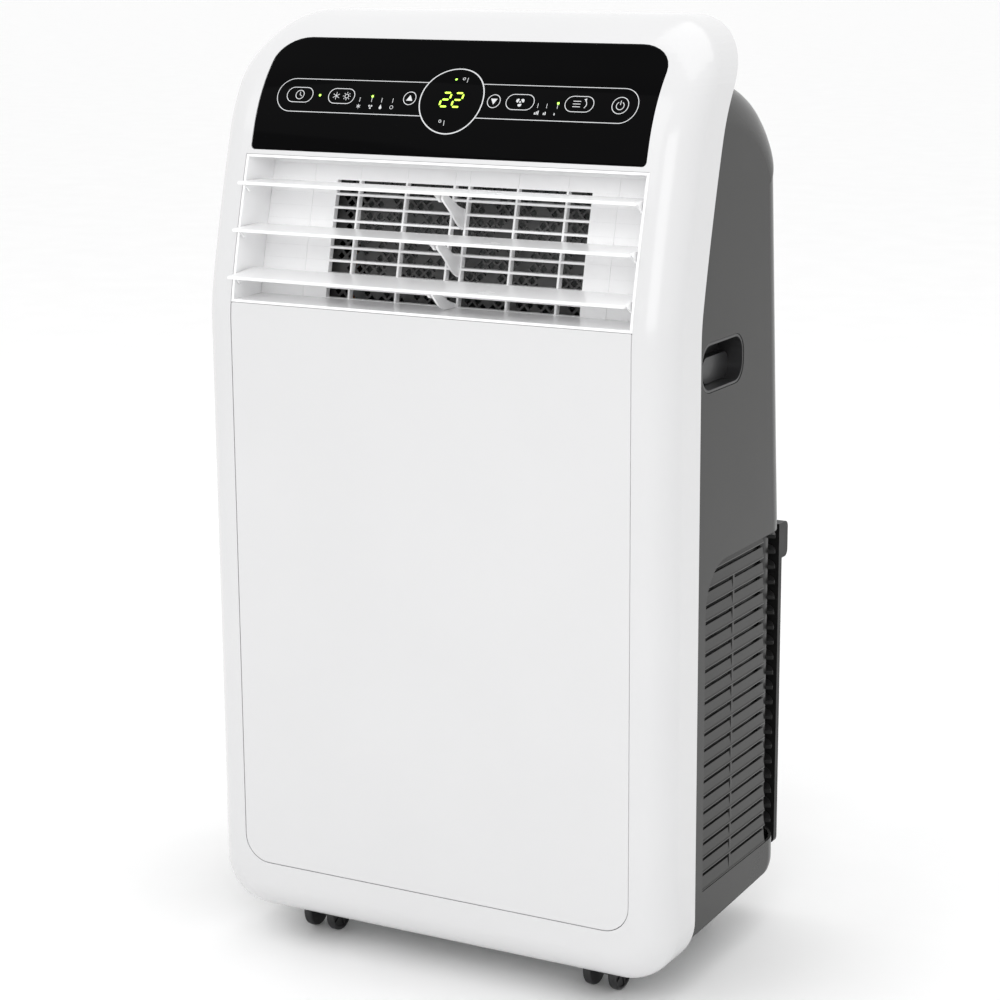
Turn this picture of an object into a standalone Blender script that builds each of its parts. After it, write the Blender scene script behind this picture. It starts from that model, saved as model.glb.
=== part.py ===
"""Portable air conditioner on four twin-wheel casters.

Units are metres, +Z is up, the front faces -Y, and the origin is on the floor under the middle
of the cabinet. Depths are measured backwards from the flat front panel, and FRONT is that
panel's own y. The front leans back above the panel: front_lean() says by how much at a height.
"""

import bpy
import bmesh
from math import cos, pi, radians, sin, sqrt, tan
from mathutils import Matrix, Vector

# ---- driving dimensions ---------------------------------------------------------------------
FRONT = -0.1475              # y of the flat front panel
HALF_WIDTH = 0.2225          # white front shell
BOTTOM, TOP = 0.0285, 0.819
SHELL_DEPTH = 0.061
SHELL_WALL = 0.0025
CORNER_LOW, CORNER_HIGH = 0.045, 0.058
EDGE_ROUND = 0.028
GAP = 0.0003                 # between pieces that touch

PANEL_HALF = 0.190           # opening for the panel and the mouth
PANEL_BOTTOM, PANEL_TOP = 0.076, 0.5788
MOUTH_TOP = 0.702
MOUTH_DEPTH = 0.043
FASCIA_HALF, FASCIA_BOTTOM, FASCIA_TOP = 0.1862, 0.7057, 0.7975

# the front leans back in arcs: height where each ends, and the lean there in degrees
LEAN_START = 0.560
LEAN_ARCS = ((0.591, 12.0), (0.722, 17.0), (0.775, 42.0))

LOUVRE_PITCH = 0.0382
LOUVRE_LOW_AXIS = 0.5975
LOUVRE_INSET = 0.0058        # pivot behind the front surface
LOUVRE_FRONT, LOUVRE_REAR = 0.018, 0.0206
LOUVRE_TILTS = (5.0, 1.5, -1.5)   # degrees at rest, rear edge high, lowest louvre first
LOUVRE_HALF = 0.1862
CRANK = 0.012
CRANK_ANGLE = -35.0
ARM_X = 0.0042               # left face of the fixed centre arms

HOUSING_HALF = 0.211
HOUSING_WALL = 0.0025
HOUSING_ROUND = 0.040
REAR = 0.283                 # depth of the upright part of the rear face
REAR_KINK, REAR_TOP = 0.380, 0.691
REAR_LEAN = 0.0225 / (REAR_TOP - REAR_KINK)

SIDE_WINDOW = (0.101, 0.241, 0.083, 0.369)      # depth and height limits
SLOT_COUNT, SLOT_PITCH, SLOT_TOP = 20, 0.01392, 0.362
GRIP = (0.0875, 0.1725, 0.516, 0.558)
REAR_WINDOW = (0.172, 0.078, 0.358)             # half width, bottom, top
FILTER_WINDOW = (0.165, 0.536, 0.690)
EXHAUST_Z, EXHAUST_R = 0.450, 0.0715

DECK_Z = 0.530
PAN_Z = 0.047
CASTER_X, CASTER_FRONT, CASTER_REAR = 0.142, 0.048, 0.205
WHEEL_R, WHEEL_TRAIL = 0.0165, 0.010
ARCH_R = 0.0285                # hole in the shell in which a front caster swivels

WHITE = ((0.88, 0.88, 0.87), 0.28, 0.0)
PIANO = ((0.004, 0.004, 0.005), 0.08, 0.0)
GREY = ((0.098, 0.098, 0.093), 0.32, 0.0)
BLACK = ((0.012, 0.012, 0.012), 0.5, 0.0)
INNER = ((0.35, 0.36, 0.36), 0.6, 0.0)
ZINC = ((0.55, 0.56, 0.57), 0.35, 1.0)
COPPER = ((0.72, 0.35, 0.2), 0.3, 1.0)
FINS = ((0.75, 0.76, 0.78), 0.4, 1.0)
BOARD = ((0.02, 0.16, 0.07), 0.5, 0.0)
NET = ((0.05, 0.05, 0.05), 0.8, 0.0)


# ---- scene ----------------------------------------------------------------------------------
def clear_scene():
    for item in list(bpy.data.objects):
        bpy.data.objects.remove(item, do_unlink=True)


def new_collection(name):
    group = bpy.data.collections.new(name)
    bpy.context.scene.collection.children.link(group)
    return group


clear_scene()
PARTS = new_collection("portable_air_conditioner")


def finish_material(name, finish):
    colour, roughness, metallic = finish
    material = bpy.data.materials.new(name)
    material.use_nodes = True
    shader = material.node_tree.nodes["Principled BSDF"]
    shader.inputs["Base Color"].default_value = (*colour, 1.0)
    shader.inputs["Roughness"].default_value = roughness
    shader.inputs["Metallic"].default_value = metallic
    return material


def to_mesh(bm, name):
    bmesh.ops.recalc_face_normals(bm, faces=bm.faces)
    mesh = bpy.data.meshes.new(name)
    bm.to_mesh(mesh)
    bm.free()
    return mesh


def part(name, bm, finish, smooth=False):
    mesh = to_mesh(bm, name)
    if smooth:
        mesh.shade_smooth()
        mesh.set_sharp_from_angle(angle=radians(35))
    mesh.materials.append(finish_material(name, finish))
    piece = bpy.data.objects.new(name, mesh)
    PARTS.objects.link(piece)
    return piece


def apply_modifiers(piece):
    bpy.context.view_layer.update()
    evaluated = piece.evaluated_get(bpy.context.evaluated_depsgraph_get())
    mesh = bpy.data.meshes.new_from_object(evaluated)
    piece.modifiers.clear()
    piece.data = mesh


def boolean(piece, bm, operation):
    """Cut a shape out of a piece or join it on. The shape is in the piece's own space."""
    tool = bpy.data.objects.new("tool", to_mesh(bm, "tool"))
    tool.matrix_world = piece.matrix_world
    PARTS.objects.link(tool)
    modifier = piece.modifiers.new(operation.title(), "BOOLEAN")
    modifier.operation = operation
    modifier.solver = "EXACT"
    modifier.object = tool
    apply_modifiers(piece)
    bpy.data.objects.remove(tool)


def cut(piece, bm):
    boolean(piece, bm, "DIFFERENCE")


def join(piece, bm):
    boolean(piece, bm, "UNION")


def set_pivot(piece, point):
    """Move a piece's origin to a point on its axis, leaving the piece where it is."""
    piece.data.transform(Matrix.Translation(-Vector(point)))
    piece.location = point


# ---- shapes ---------------------------------------------------------------------------------
def box(bm, low, high):
    size = [b - a for a, b in zip(low, high)]
    middle = [(a + b) / 2 for a, b in zip(low, high)]
    matrix = Matrix.Translation(middle) @ Matrix.Diagonal((*size, 1.0))
    return bmesh.ops.create_cube(bm, size=1.0, matrix=matrix)["verts"]


AXIS_TURN = {
    "x": Matrix.Rotation(pi / 2, 4, "Y"),
    "y": Matrix.Rotation(-pi / 2, 4, "X"),
    "z": Matrix.Identity(4),
}


def cylinder(bm, centre, radius, length, axis="z", segments=16, radius_end=None):
    end = radius if radius_end is None else radius_end
    matrix = Matrix.Translation(centre) @ AXIS_TURN[axis]
    made = bmesh.ops.create_cone(
        bm, cap_ends=True, segments=segments, radius1=radius, radius2=end,
        depth=length, matrix=matrix)
    return made["verts"]


def prism(bm, outline, axis, start, end):
    """Extrude a flat outline. Its points are (x, z) along y, (y, z) along x or (x, y) along z."""
    place = {
        "x": lambda a, b, c: (c, a, b),
        "y": lambda a, b, c: (a, c, b),
        "z": lambda a, b, c: (a, b, c),
    }[axis]
    verts = [bm.verts.new(place(a, b, start)) for a, b in outline]
    face = bm.faces.new(verts)
    made = bmesh.ops.extrude_face_region(bm, geom=[face])
    moved = [item for item in made["geom"] if isinstance(item, bmesh.types.BMVert)]
    step = Vector(place(0, 0, end)) - Vector(place(0, 0, start))
    bmesh.ops.translate(bm, verts=moved, vec=step)


def arc(centre, radius, start, end, steps):
    """Points on a circle, angles in degrees from the first axis towards the second."""
    points = []
    for index in range(steps + 1):
        angle = radians(start + (end - start) * index / steps)
        points.append((centre[0] + radius * cos(angle), centre[1] + radius * sin(angle)))
    return points


def rounded(a0, a1, b0, b1, low, high, steps=4):
    """Rectangle with rounded corners: radius low at b0 and high at b1."""
    outline = arc((a0 + low, b0 + low), low, 180, 270, steps)
    outline += arc((a1 - low, b0 + low), low, 270, 360, steps)
    outline += arc((a1 - high, b1 - high), high, 0, 90, steps)
    outline += arc((a0 + high, b1 - high), high, 90, 180, steps)
    return outline


def rounded_between(a0, a1, b0, b1, radius, steps=3):
    return rounded(a0, a1, b0, b1, radius, radius, steps)


# ---- the lean of the front and of the rear --------------------------------------------------
def front_lean(z):
    """How far back the front surface is at a height."""
    depth, start, angle = 0.0, LEAN_START, 0.0
    for end, end_angle in LEAN_ARCS:
        if z <= start:
            return depth
        first, last = sin(radians(angle)), sin(radians(end_angle))
        radius = (end - start) / (last - first)
        reached = first + (min(z, end) - start) / radius
        depth += radius * (sqrt(1 - first ** 2) - sqrt(1 - reached ** 2))
        start, angle = end, end_angle
    return depth + max(0.0, z - start) * tan(radians(angle))


def rear_face(z):
    """Depth of the grey housing's rear face at a height, below its rounded top."""
    return REAR - max(0.0, z - REAR_KINK) * REAR_LEAN


LEAN_LEVELS = [LEAN_START, 0.575, 0.591, 0.625, 0.660, 0.695, 0.722, 0.740, 0.758, 0.775]


def follow_front(bm, levels=LEAN_LEVELS):
    """Slice a shape at the levels where the front bends, then lean it with the front."""
    for z in levels:
        geometry = bm.verts[:] + bm.edges[:] + bm.faces[:]
        bmesh.ops.bisect_plane(
            bm, geom=geometry, plane_co=(0, 0, z), plane_no=(0, 0, 1), dist=1e-6)
    for vert in bm.verts:
        vert.co.y += front_lean(vert.co.z)


def follow_rear(bm):
    for vert in bm.verts:
        vert.co.y += rear_face(vert.co.z) - REAR


# ---- front: shell, panel, fascia ------------------------------------------------------------
def front_shell():
    bm = bmesh.new()
    outline = rounded(-HALF_WIDTH, HALF_WIDTH, BOTTOM, TOP, CORNER_LOW, CORNER_HIGH, 5)
    prism(bm, outline, "y", FRONT, FRONT + SHELL_DEPTH)
    bm.faces.ensure_lookup_table()
    front = [e for e in bm.edges if all(abs(v.co.y - FRONT) < 1e-6 for v in e.verts)]
    bmesh.ops.bevel(bm, geom=front, offset=EDGE_ROUND, segments=3, profile=0.5,
                    affect="EDGES")
    back = [f for f in bm.faces
            if all(abs(v.co.y - FRONT - SHELL_DEPTH) < 1e-6 for v in f.verts)]
    bmesh.ops.delete(bm, geom=back, context="FACES_ONLY")
    follow_front(bm)
    shell = part("front_shell", bm, WHITE, smooth=True)
    wall = shell.modifiers.new("Wall", "SOLIDIFY")
    wall.thickness = SHELL_WALL
    wall.offset = -1
    apply_modifiers(shell)

    opening = bmesh.new()
    outline = rounded(-PANEL_HALF, PANEL_HALF, PANEL_BOTTOM, PANEL_TOP + 0.02, 0.024, 0.004, 3)
    prism(opening, outline, "y", FRONT - 0.02, FRONT + 0.055)
    cut(shell, opening)
    mouth = bmesh.new()
    box(mouth, (-PANEL_HALF, FRONT - 0.02, PANEL_TOP - 0.02), (PANEL_HALF, FRONT + 0.055, MOUTH_TOP))
    cut(shell, mouth)
    for side in (-1, 1):
        arch = bmesh.new()
        cylinder(arch, (side * CASTER_X, FRONT + CASTER_FRONT, BOTTOM), ARCH_R, 0.03, "z", 24)
        cut(shell, arch)
    window = bmesh.new()
    outline = rounded(-FASCIA_HALF, FASCIA_HALF, FASCIA_BOTTOM, FASCIA_TOP, 0.004, 0.024, 3)
    prism(window, outline, "y", FRONT - 0.01, FRONT + 0.115)
    cut(shell, window)


def front_panel():
    bm = bmesh.new()
    half = PANEL_HALF - GAP
    prism(bm, rounded(-half, half, PANEL_BOTTOM + GAP, PANEL_TOP - GAP, 0.0237, 0.002, 3),
          "y", FRONT, FRONT + 0.004)
    follow_front(bm, [LEAN_START])
    part("front_panel", bm, WHITE)


def control_fascia():
    bm = bmesh.new()
    half = FASCIA_HALF - GAP
    prism(bm, rounded(-half, half, FASCIA_BOTTOM + GAP, FASCIA_TOP - GAP, 0.0037, 0.0237, 3),
          "y", FRONT, FRONT + 0.003)
    follow_front(bm, [0.722, 0.740, 0.758, 0.775])
    part("control_fascia", bm, PIANO)

    bm = bmesh.new()
    box(bm, (-0.150, FRONT + 0.011, 0.725), (0.150, FRONT + 0.0126, 0.776))
    follow_front(bm, [0.740, 0.758])
    part("control_board", bm, BOARD)


# ---- air outlet: duct, grille, guard, louvres -----------------------------------------------
def louvre_axis(index):
    z = LOUVRE_LOW_AXIS + LOUVRE_PITCH * index
    return Vector((0.0, FRONT + front_lean(z) + LOUVRE_INSET, z))


def outlet_duct():
    bm = bmesh.new()
    half = PANEL_HALF - GAP
    box(bm, (-half, FRONT, PANEL_TOP), (half, FRONT + MOUTH_DEPTH - GAP, MOUTH_TOP - GAP))
    follow_front(bm, [0.591, 0.660])
    duct = part("outlet_duct", bm, WHITE)

    hollow = bmesh.new()
    wall = 0.002
    box(hollow, (-half + wall, FRONT - 0.01, PANEL_TOP + wall),
        (half - wall, FRONT + MOUTH_DEPTH + 0.01, MOUTH_TOP - GAP - wall))
    follow_front(hollow, [0.591, 0.660])
    cut(duct, hollow)
    for index in range(3):
        holes = bmesh.new()
        cylinder(holes, louvre_axis(index), 0.0026, 0.44, "x", 12)
        cut(duct, holes)


RIB_X = (0.007, 0.053, 0.099)
WINDOW_HALF, WINDOW_TOP = 0.1215, 0.6792


def outlet_grille():
    bm = bmesh.new()
    y = FRONT + MOUTH_DEPTH
    box(bm, (-PANEL_HALF + GAP, y, PANEL_TOP), (PANEL_HALF - GAP, y + 0.006, MOUTH_TOP - GAP))
    grille = part("outlet_grille", bm, WHITE)

    rib = 0.0008
    edges = [-WINDOW_HALF, *(-x for x in reversed(RIB_X)), *RIB_X, WINDOW_HALF]
    rows = 5
    height = (WINDOW_TOP - PANEL_TOP - 0.002) / rows
    cells = bmesh.new()
    for left, right in zip(edges, edges[1:]):
        for row in range(rows):
            low = PANEL_TOP + 0.002 + row * height
            box(cells, (left + rib, y - 0.01, low + rib), (right - rib, y + 0.02, low + height - rib))
    cut(grille, cells)
    lean_piece(grille, [0.591, 0.660])


def louvre_support(index, name):
    """Fixed arm that steadies a louvre in the middle, from the grille to the pivot."""
    y, z = louvre_axis(index).yz
    root = FRONT + MOUTH_DEPTH - GAP
    low, high = max(z - 0.030, PANEL_TOP + 0.0025), z - 0.013
    outline = [(root + front_lean(low), low), (root + front_lean(high), high), (y + 0.003, z + 0.002)]
    outline += arc((y, z), 0.0036, 60, 230, 5)
    outline += [(y + 0.008, z - 0.013)]
    bm = bmesh.new()
    prism(bm, outline, "x", ARM_X, ARM_X + 0.0022)
    part(name, bm, WHITE)


def lean_piece(piece, levels):
    """Lean a piece that was made upright, so that it lies along the front."""
    bm = bmesh.new()
    bm.from_mesh(piece.data)
    follow_front(bm, levels)
    bm.to_mesh(piece.data)
    bm.free()


def outlet_guard():
    bm = bmesh.new()
    y = FRONT + 0.056
    box(bm, (-0.128, y, 0.574), (0.128, y + 0.002, 0.688))
    guard = part("outlet_guard", bm, BLACK)
    holes = bmesh.new()
    columns, rows = 7, 3
    for row in range(rows):
        for column in range(columns):
            x = (column - (columns - 1) / 2) * 0.035
            z = 0.594 + row * 0.037
            cylinder(holes, (x, y + 0.001, z), 0.0140, 0.01, "y", 4)
    cut(guard, holes)
    lean_piece(guard, [0.591])


def louvre(index, name):
    """Blade with an ear and a pin at each end, a lug at the centre arm, and a crank."""
    axis = louvre_axis(index)
    top, under = 0.0058, 0.0036
    bm = bmesh.new()
    section = [(-LOUVRE_FRONT, top - 0.0012), (-LOUVRE_FRONT + 0.0008, top),
               (LOUVRE_REAR, top), (LOUVRE_REAR, under + 0.0006),
               (-LOUVRE_FRONT + 0.004, under), (-LOUVRE_FRONT + 0.0008, under - 0.0004)]
    prism(bm, section, "x", -LOUVRE_HALF, LOUVRE_HALF)
    blade = part(name, bm, WHITE)

    ear = [(-0.011, under + 0.001), *arc((0, 0), 0.0042, 200, 340, 5), (0.012, under + 0.001)]
    for left in (-LOUVRE_HALF, ARM_X - 0.0030, LOUVRE_HALF - 0.0018):
        lug = bmesh.new()
        prism(lug, ear, "x", left, left + 0.0018)
        join(blade, lug)
    pin = bmesh.new()
    cylinder(pin, (LOUVRE_HALF + 0.0008, 0, 0), 0.0021, 0.004, "x", 10)
    join(blade, pin)
    pin = bmesh.new()
    cylinder(pin, (-LOUVRE_HALF - 0.0050, 0, 0), 0.0021, 0.013, "x", 10)
    join(blade, pin)

    angle = radians(CRANK_ANGLE - LOUVRE_TILTS[index])
    reach = Matrix.Rotation(angle, 4, "X")
    crank = bmesh.new()
    bar = box(crank, (-0.1985, 0.0, -0.0018), (-0.1965, CRANK + 0.0018, 0.0018))
    bmesh.ops.transform(crank, matrix=reach, verts=bar)
    join(blade, crank)
    stud = bmesh.new()
    cylinder(stud, (-0.2005, *link_offset(angle)), 0.0014, 0.006, "x", 10)
    join(blade, stud)
    turn = Matrix.Rotation(radians(LOUVRE_TILTS[index]), 4, "X")
    blade.matrix_world = Matrix.Translation(axis) @ turn


def link_offset(angle):
    return CRANK * cos(angle), CRANK * sin(angle)


def louvre_link():
    """Bar that joins the three cranks, made about the middle stud, which it hinges on."""
    dy, dz = link_offset(radians(CRANK_ANGLE))
    studs = [louvre_axis(index) + Vector((0, dy, dz)) for index in range(3)]
    half, x = 0.0036, -0.2026
    front = [(p.y - half, p.z) for p in studs]
    rear = [(p.y + half, p.z) for p in reversed(studs)]
    front[0] = (front[0][0], front[0][1] - half)
    rear[-1] = (rear[-1][0], rear[-1][1] - half)
    front[-1] = (front[-1][0], front[-1][1] + half)
    rear[0] = (rear[0][0], rear[0][1] + half)
    bm = bmesh.new()
    prism(bm, front + rear, "x", x, x + 0.0018)
    for stud in studs:
        stud.x = x
    link = part("louvre_link", bm, INNER)
    for stud in studs:
        hole = bmesh.new()
        cylinder(hole, stud, 0.0018, 0.01, "x", 10)
        cut(link, hole)
    set_pivot(link, studs[1])


def swing_motor():
    axis = louvre_axis(1)
    bm = bmesh.new()
    cylinder(bm, (0.2005, axis.y + 0.013, axis.z), 0.0105, 0.015, "x", 16)
    motor = part("swing_motor", bm, ZINC)
    flange = bmesh.new()
    box(flange, (0.1905, axis.y - 0.0015, axis.z - 0.005), (0.1935, axis.y + 0.026, axis.z + 0.005))
    join(motor, flange)


# ---- grey rear housing ----------------------------------------------------------------------
def housing_outline(inset):
    """Side outline (depth, height) of the housing, drawn in by an inset at its rounded edges."""
    rear = REAR - inset
    bottom = PAN_Z + 0.05 * inset
    lean_top = (rear_face(REAR_TOP) - inset, REAR_TOP - 0.4 * inset)
    crown = [(0.255, 0.716), (0.238, 0.737), (0.213, 0.754), (0.176, 0.765)]
    tucked = 0.036
    points = [(tucked, bottom)]
    points += arc((rear - 0.012, bottom + 0.0165), 0.012, -90, 0, 3)
    points += [(rear, REAR_KINK), lean_top]
    points += [(depth - 0.8 * inset, height - 0.9 * inset) for depth, height in crown]
    top = 0.771 - 0.9 * inset
    for step in range(6):
        z = top + (LEAN_START - top) * step / 5
        points.append((tucked + front_lean(z), z))
    return points


OPEN_EDGES = 7               # the last ones: the tucked front and the bottom stay open


def rear_housing():
    bm = bmesh.new()
    steps = 4
    sections = []
    for step in range(steps + 1):
        angle = radians(90 * step / steps)
        x = HOUSING_HALF - HOUSING_ROUND * (1 - cos(angle))
        sections.append((x, HOUSING_ROUND * (1 - sin(angle)) if step < steps else 0.0))
    sections = [(-x, inset) for x, inset in sections] + [(x, inset) for x, inset in reversed(sections)]
    rings = []
    for x, inset in sections:
        outline = housing_outline(inset)
        rings.append([bm.verts.new((x, FRONT + depth, height)) for depth, height in outline])
    count = len(rings[0])
    skins = range(1, count - OPEN_EDGES + 1)
    for ring, following in zip(rings, rings[1:]):
        for index in skins:
            bm.faces.new((ring[index], ring[(index + 1) % count],
                          following[(index + 1) % count], following[index]))
    bm.faces.new(rings[0])
    bm.faces.new(rings[-1])
    housing = part("rear_housing", bm, GREY, smooth=True)
    wall = housing.modifiers.new("Wall", "SOLIDIFY")
    wall.thickness = HOUSING_WALL
    wall.offset = -1
    apply_modifiers(housing)

    for side in (-1, 1):
        window = bmesh.new()
        prism(window, side_window_outline(0.0), "x", side * 0.20, side * 0.23)
        cut(housing, window)
        grip = bmesh.new()
        prism(grip, grip_outline(0.0), "x", side * 0.20, side * 0.23)
        cut(housing, grip)
    half, low, high = REAR_WINDOW
    window = bmesh.new()
    box(window, (-half, FRONT + 0.255, low), (half, FRONT + 0.30, high))
    cut(housing, window)
    half, low, high = FILTER_WINDOW
    window = bmesh.new()
    box(window, (-half, FRONT + 0.235, low), (half, FRONT + 0.30, high))
    cut(housing, window)
    hole = bmesh.new()
    cylinder(hole, (0, FRONT + 0.28, EXHAUST_Z), EXHAUST_R + 0.0036, 0.06, "y", 32)
    cut(housing, hole)
    for x in (0.140, -0.150):
        hole = bmesh.new()
        cylinder(hole, (x, FRONT + 0.27, 0.505), 0.0078, 0.04, "y", 12)
        cut(housing, hole)


def side_window_outline(margin):
    depth0, depth1, low, high = SIDE_WINDOW
    left, right = FRONT + depth0 + margin, FRONT + depth1 - margin
    low, high = low + margin, high - margin
    big = 0.040
    outline = [(left, low), (right, low), (right, high)]
    outline += arc((left + big, high - big), big, 90, 180, 5)
    return outline


def grip_outline(margin):
    y0, y1, low, high = GRIP
    return rounded_between(FRONT + y0 + margin, FRONT + y1 - margin, low + margin, high - margin,
                           0.017 - margin, 4)


def side_grilles():
    depth0, depth1, low, high = SIDE_WINDOW
    for side, name in ((-1, "side_grille_left"), (1, "side_grille_right")):
        bm = bmesh.new()
        inner, outer = side * (HOUSING_HALF - 0.0035), side * (HOUSING_HALF - 0.0008)
        prism(bm, side_window_outline(GAP), "x", inner, outer)
        panel = part(name, bm, GREY)
        slots = bmesh.new()
        for index in range(0, SLOT_COUNT, 2):
            z = SLOT_TOP - SLOT_PITCH * (index + 0.5)
            start = FRONT + depth0 + (0.022 if index < 2 else 0.008)
            end = FRONT + depth1 - 0.006
            box(slots, (inner - 0.01, start, z - 0.004), (inner + 0.01, end, z + 0.004))
        cut(panel, slots)


def grip_cups():
    for side, name in ((-1, "grip_cup_left"), (1, "grip_cup_right")):
        bm = bmesh.new()
        prism(bm, grip_outline(GAP), "x", side * 0.186, side * (HOUSING_HALF - 0.0004))
        cup = part(name, bm, GREY)
        hollow = bmesh.new()
        prism(hollow, grip_outline(0.0022), "x", side * 0.188, side * 0.23)
        cut(cup, hollow)


def rear_grille():
    bm = bmesh.new()
    low, high, half = 0.064, 0.367, 0.200
    y = FRONT + REAR + GAP
    prism(bm, rounded_between(-half, half, low, high, 0.006), "y", y, y + 0.0067)
    grille = part("rear_grille", bm, BLACK)
    for side in (-1, 1):
        ear = bmesh.new()
        outer, inner = side * half, side * (half - 0.020)
        box(ear, (min(outer, inner), y, 0.334), (max(outer, inner), FRONT + 0.303, 0.3665))
        join(grille, ear)
    cells = bmesh.new()
    rows, columns = 8, 3
    width, height = (2 * half - 0.028) / columns, (high - low - 0.026) / rows
    for column in range(columns):
        for row in range(rows):
            x = -half + 0.014 + column * width
            z = low + 0.013 + row * height
            box(cells, (x + 0.003, y - 0.01, z + 0.004), (x + width - 0.003, y + 0.03, z + height - 0.004))
    cut(grille, cells)


def filter_unit():
    half, low, high = FILTER_WINDOW
    half, low, high = half - 0.0008, low + 0.0008, high - 0.0008
    y = FRONT + REAR
    bm = bmesh.new()
    prism(bm, rounded_between(-half, half, low, high, 0.006), "y", y - 0.0075, y - GAP)
    follow_rear(bm)
    frame = part("filter_frame", bm, BLACK)
    cells = bmesh.new()
    columns, rows = 4, 4
    width, height = (2 * half - 0.016) / columns, (high - low - 0.016) / rows
    for column in range(columns):
        for row in range(rows):
            x = -half + 0.008 + column * width
            z = low + 0.008 + row * height
            box(cells, (x + 0.0015, y - 0.08, z + 0.0015),
                (x + width - 0.0015, y + 0.02, z + height - 0.0015))
    cut(frame, cells)
    set_pivot(frame, (0, FRONT + rear_face(low) - GAP, low))

    bm = bmesh.new()
    box(bm, (-half + 0.004, y - 0.0093, low + 0.004), (half - 0.004, y - 0.0078, high - 0.004))
    follow_rear(bm)
    net = part("filter_net", bm, NET)
    set_pivot(net, (0, FRONT + rear_face(low) - GAP, low))


def turned(name, profile, centre, finish, segments=32):
    """Turn a profile (radius, depth along +Y) about the Y axis; the profile is a closed loop."""
    bm = bmesh.new()
    verts = [bm.verts.new((radius, 0.0, -along)) for radius, along in profile]
    for first, second in zip(verts, verts[1:] + verts[:1]):
        bm.edges.new((first, second))
    mesh = bpy.data.meshes.new(name)
    bm.to_mesh(mesh)
    bm.free()
    piece = bpy.data.objects.new(name, mesh)
    PARTS.objects.link(piece)
    screw = piece.modifiers.new("Turn", "SCREW")
    screw.axis = "Z"
    screw.steps = screw.render_steps = segments
    screw.use_merge_vertices = True
    screw.merge_threshold = 0.00001
    apply_modifiers(piece)
    piece.data.transform(Matrix.Rotation(pi / 2, 4, "X"))
    bm = bmesh.new()
    bm.from_mesh(piece.data)
    bmesh.ops.recalc_face_normals(bm, faces=bm.faces)
    bm.to_mesh(piece.data)
    bm.free()
    piece.data.materials.append(finish_material(name, finish))
    piece.data.shade_smooth()
    piece.data.set_sharp_from_angle(angle=radians(35))
    piece.location = centre
    bpy.context.view_layer.update()
    return piece


def exhaust_collar():
    r = EXHAUST_R
    profile = [(r, 0.250), (r + 0.003, 0.250), (r + 0.003, REAR + GAP), (r + 0.010, REAR + GAP),
               (r + 0.010, REAR + 0.003), (r + 0.003, REAR + 0.003), (r + 0.003, 0.3020), (r, 0.3020)]
    turned("exhaust_collar", profile, (0, FRONT, EXHAUST_Z), BLACK, 24)


def drain_and_cord():
    for name, x in (("drain_port", 0.140), ("cord_gland", -0.150)):
        seat = rear_face(0.505) + 0.0014
        profile = [(0.0042, 0.245), (0.0072, 0.245), (0.0072, seat), (0.0115, seat),
                   (0.0115, seat + 0.003), (0.0072, seat + 0.003), (0.0072, seat + 0.010),
                   (0.0042, seat + 0.010)]
        turned(name, profile, (x, FRONT, 0.505), BLACK, 16)
    bm = bmesh.new()
    seat = FRONT + rear_face(0.505) + 0.0014
    cylinder(bm, (0.140, seat + 0.0095, 0.505), 0.0037, 0.015, "y", 12)
    cap = part("drain_cap_upper", bm, NET)
    head = bmesh.new()
    cylinder(head, (0.140, seat + 0.0145, 0.505), 0.0090, 0.007, "y", 12)
    join(cap, head)
    set_pivot(cap, (0.140, seat, 0.505))

    bm = bmesh.new()
    cylinder(bm, (-0.060, FRONT + 0.225, PAN_Z), 0.0055, 0.02, "z", 12)
    cap = part("drain_cap_lower", bm, NET)
    head = bmesh.new()
    cylinder(head, (-0.060, FRONT + 0.225, PAN_Z - 0.0055), 0.0110, 0.007, "z", 12)
    join(cap, head)
    set_pivot(cap, (-0.060, FRONT + 0.225, PAN_Z))


# ---- inside: lower half ---------------------------------------------------------------------
def base_pan():
    bm = bmesh.new()
    half = 0.200
    prism(bm, rounded_between(-half, half, FRONT + 0.008, FRONT + 0.240, 0.020), "z",
          PAN_Z, PAN_Z + 0.020)
    pan = part("base_pan", bm, INNER)
    hollow = bmesh.new()
    prism(hollow, rounded_between(-half + 0.003, half - 0.003, FRONT + 0.011, FRONT + 0.237, 0.017),
          "z", PAN_Z + 0.004, PAN_Z + 0.04)
    cut(pan, hollow)
    hole = bmesh.new()
    cylinder(hole, (-0.060, FRONT + 0.225, PAN_Z), 0.0060, 0.03, "z", 12)
    cut(pan, hole)
    for x, y, _ in caster_places():
        hole = bmesh.new()
        cylinder(hole, (x, y, PAN_Z), 0.0045, 0.03, "z", 12)
        cut(pan, hole)


def caster_places():
    return [(side * CASTER_X, FRONT + depth, f"{end}_{hand}")
            for end, depth in (("front", CASTER_FRONT), ("rear", CASTER_REAR))
            for side, hand in ((-1, "left"), (1, "right"))]


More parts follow.
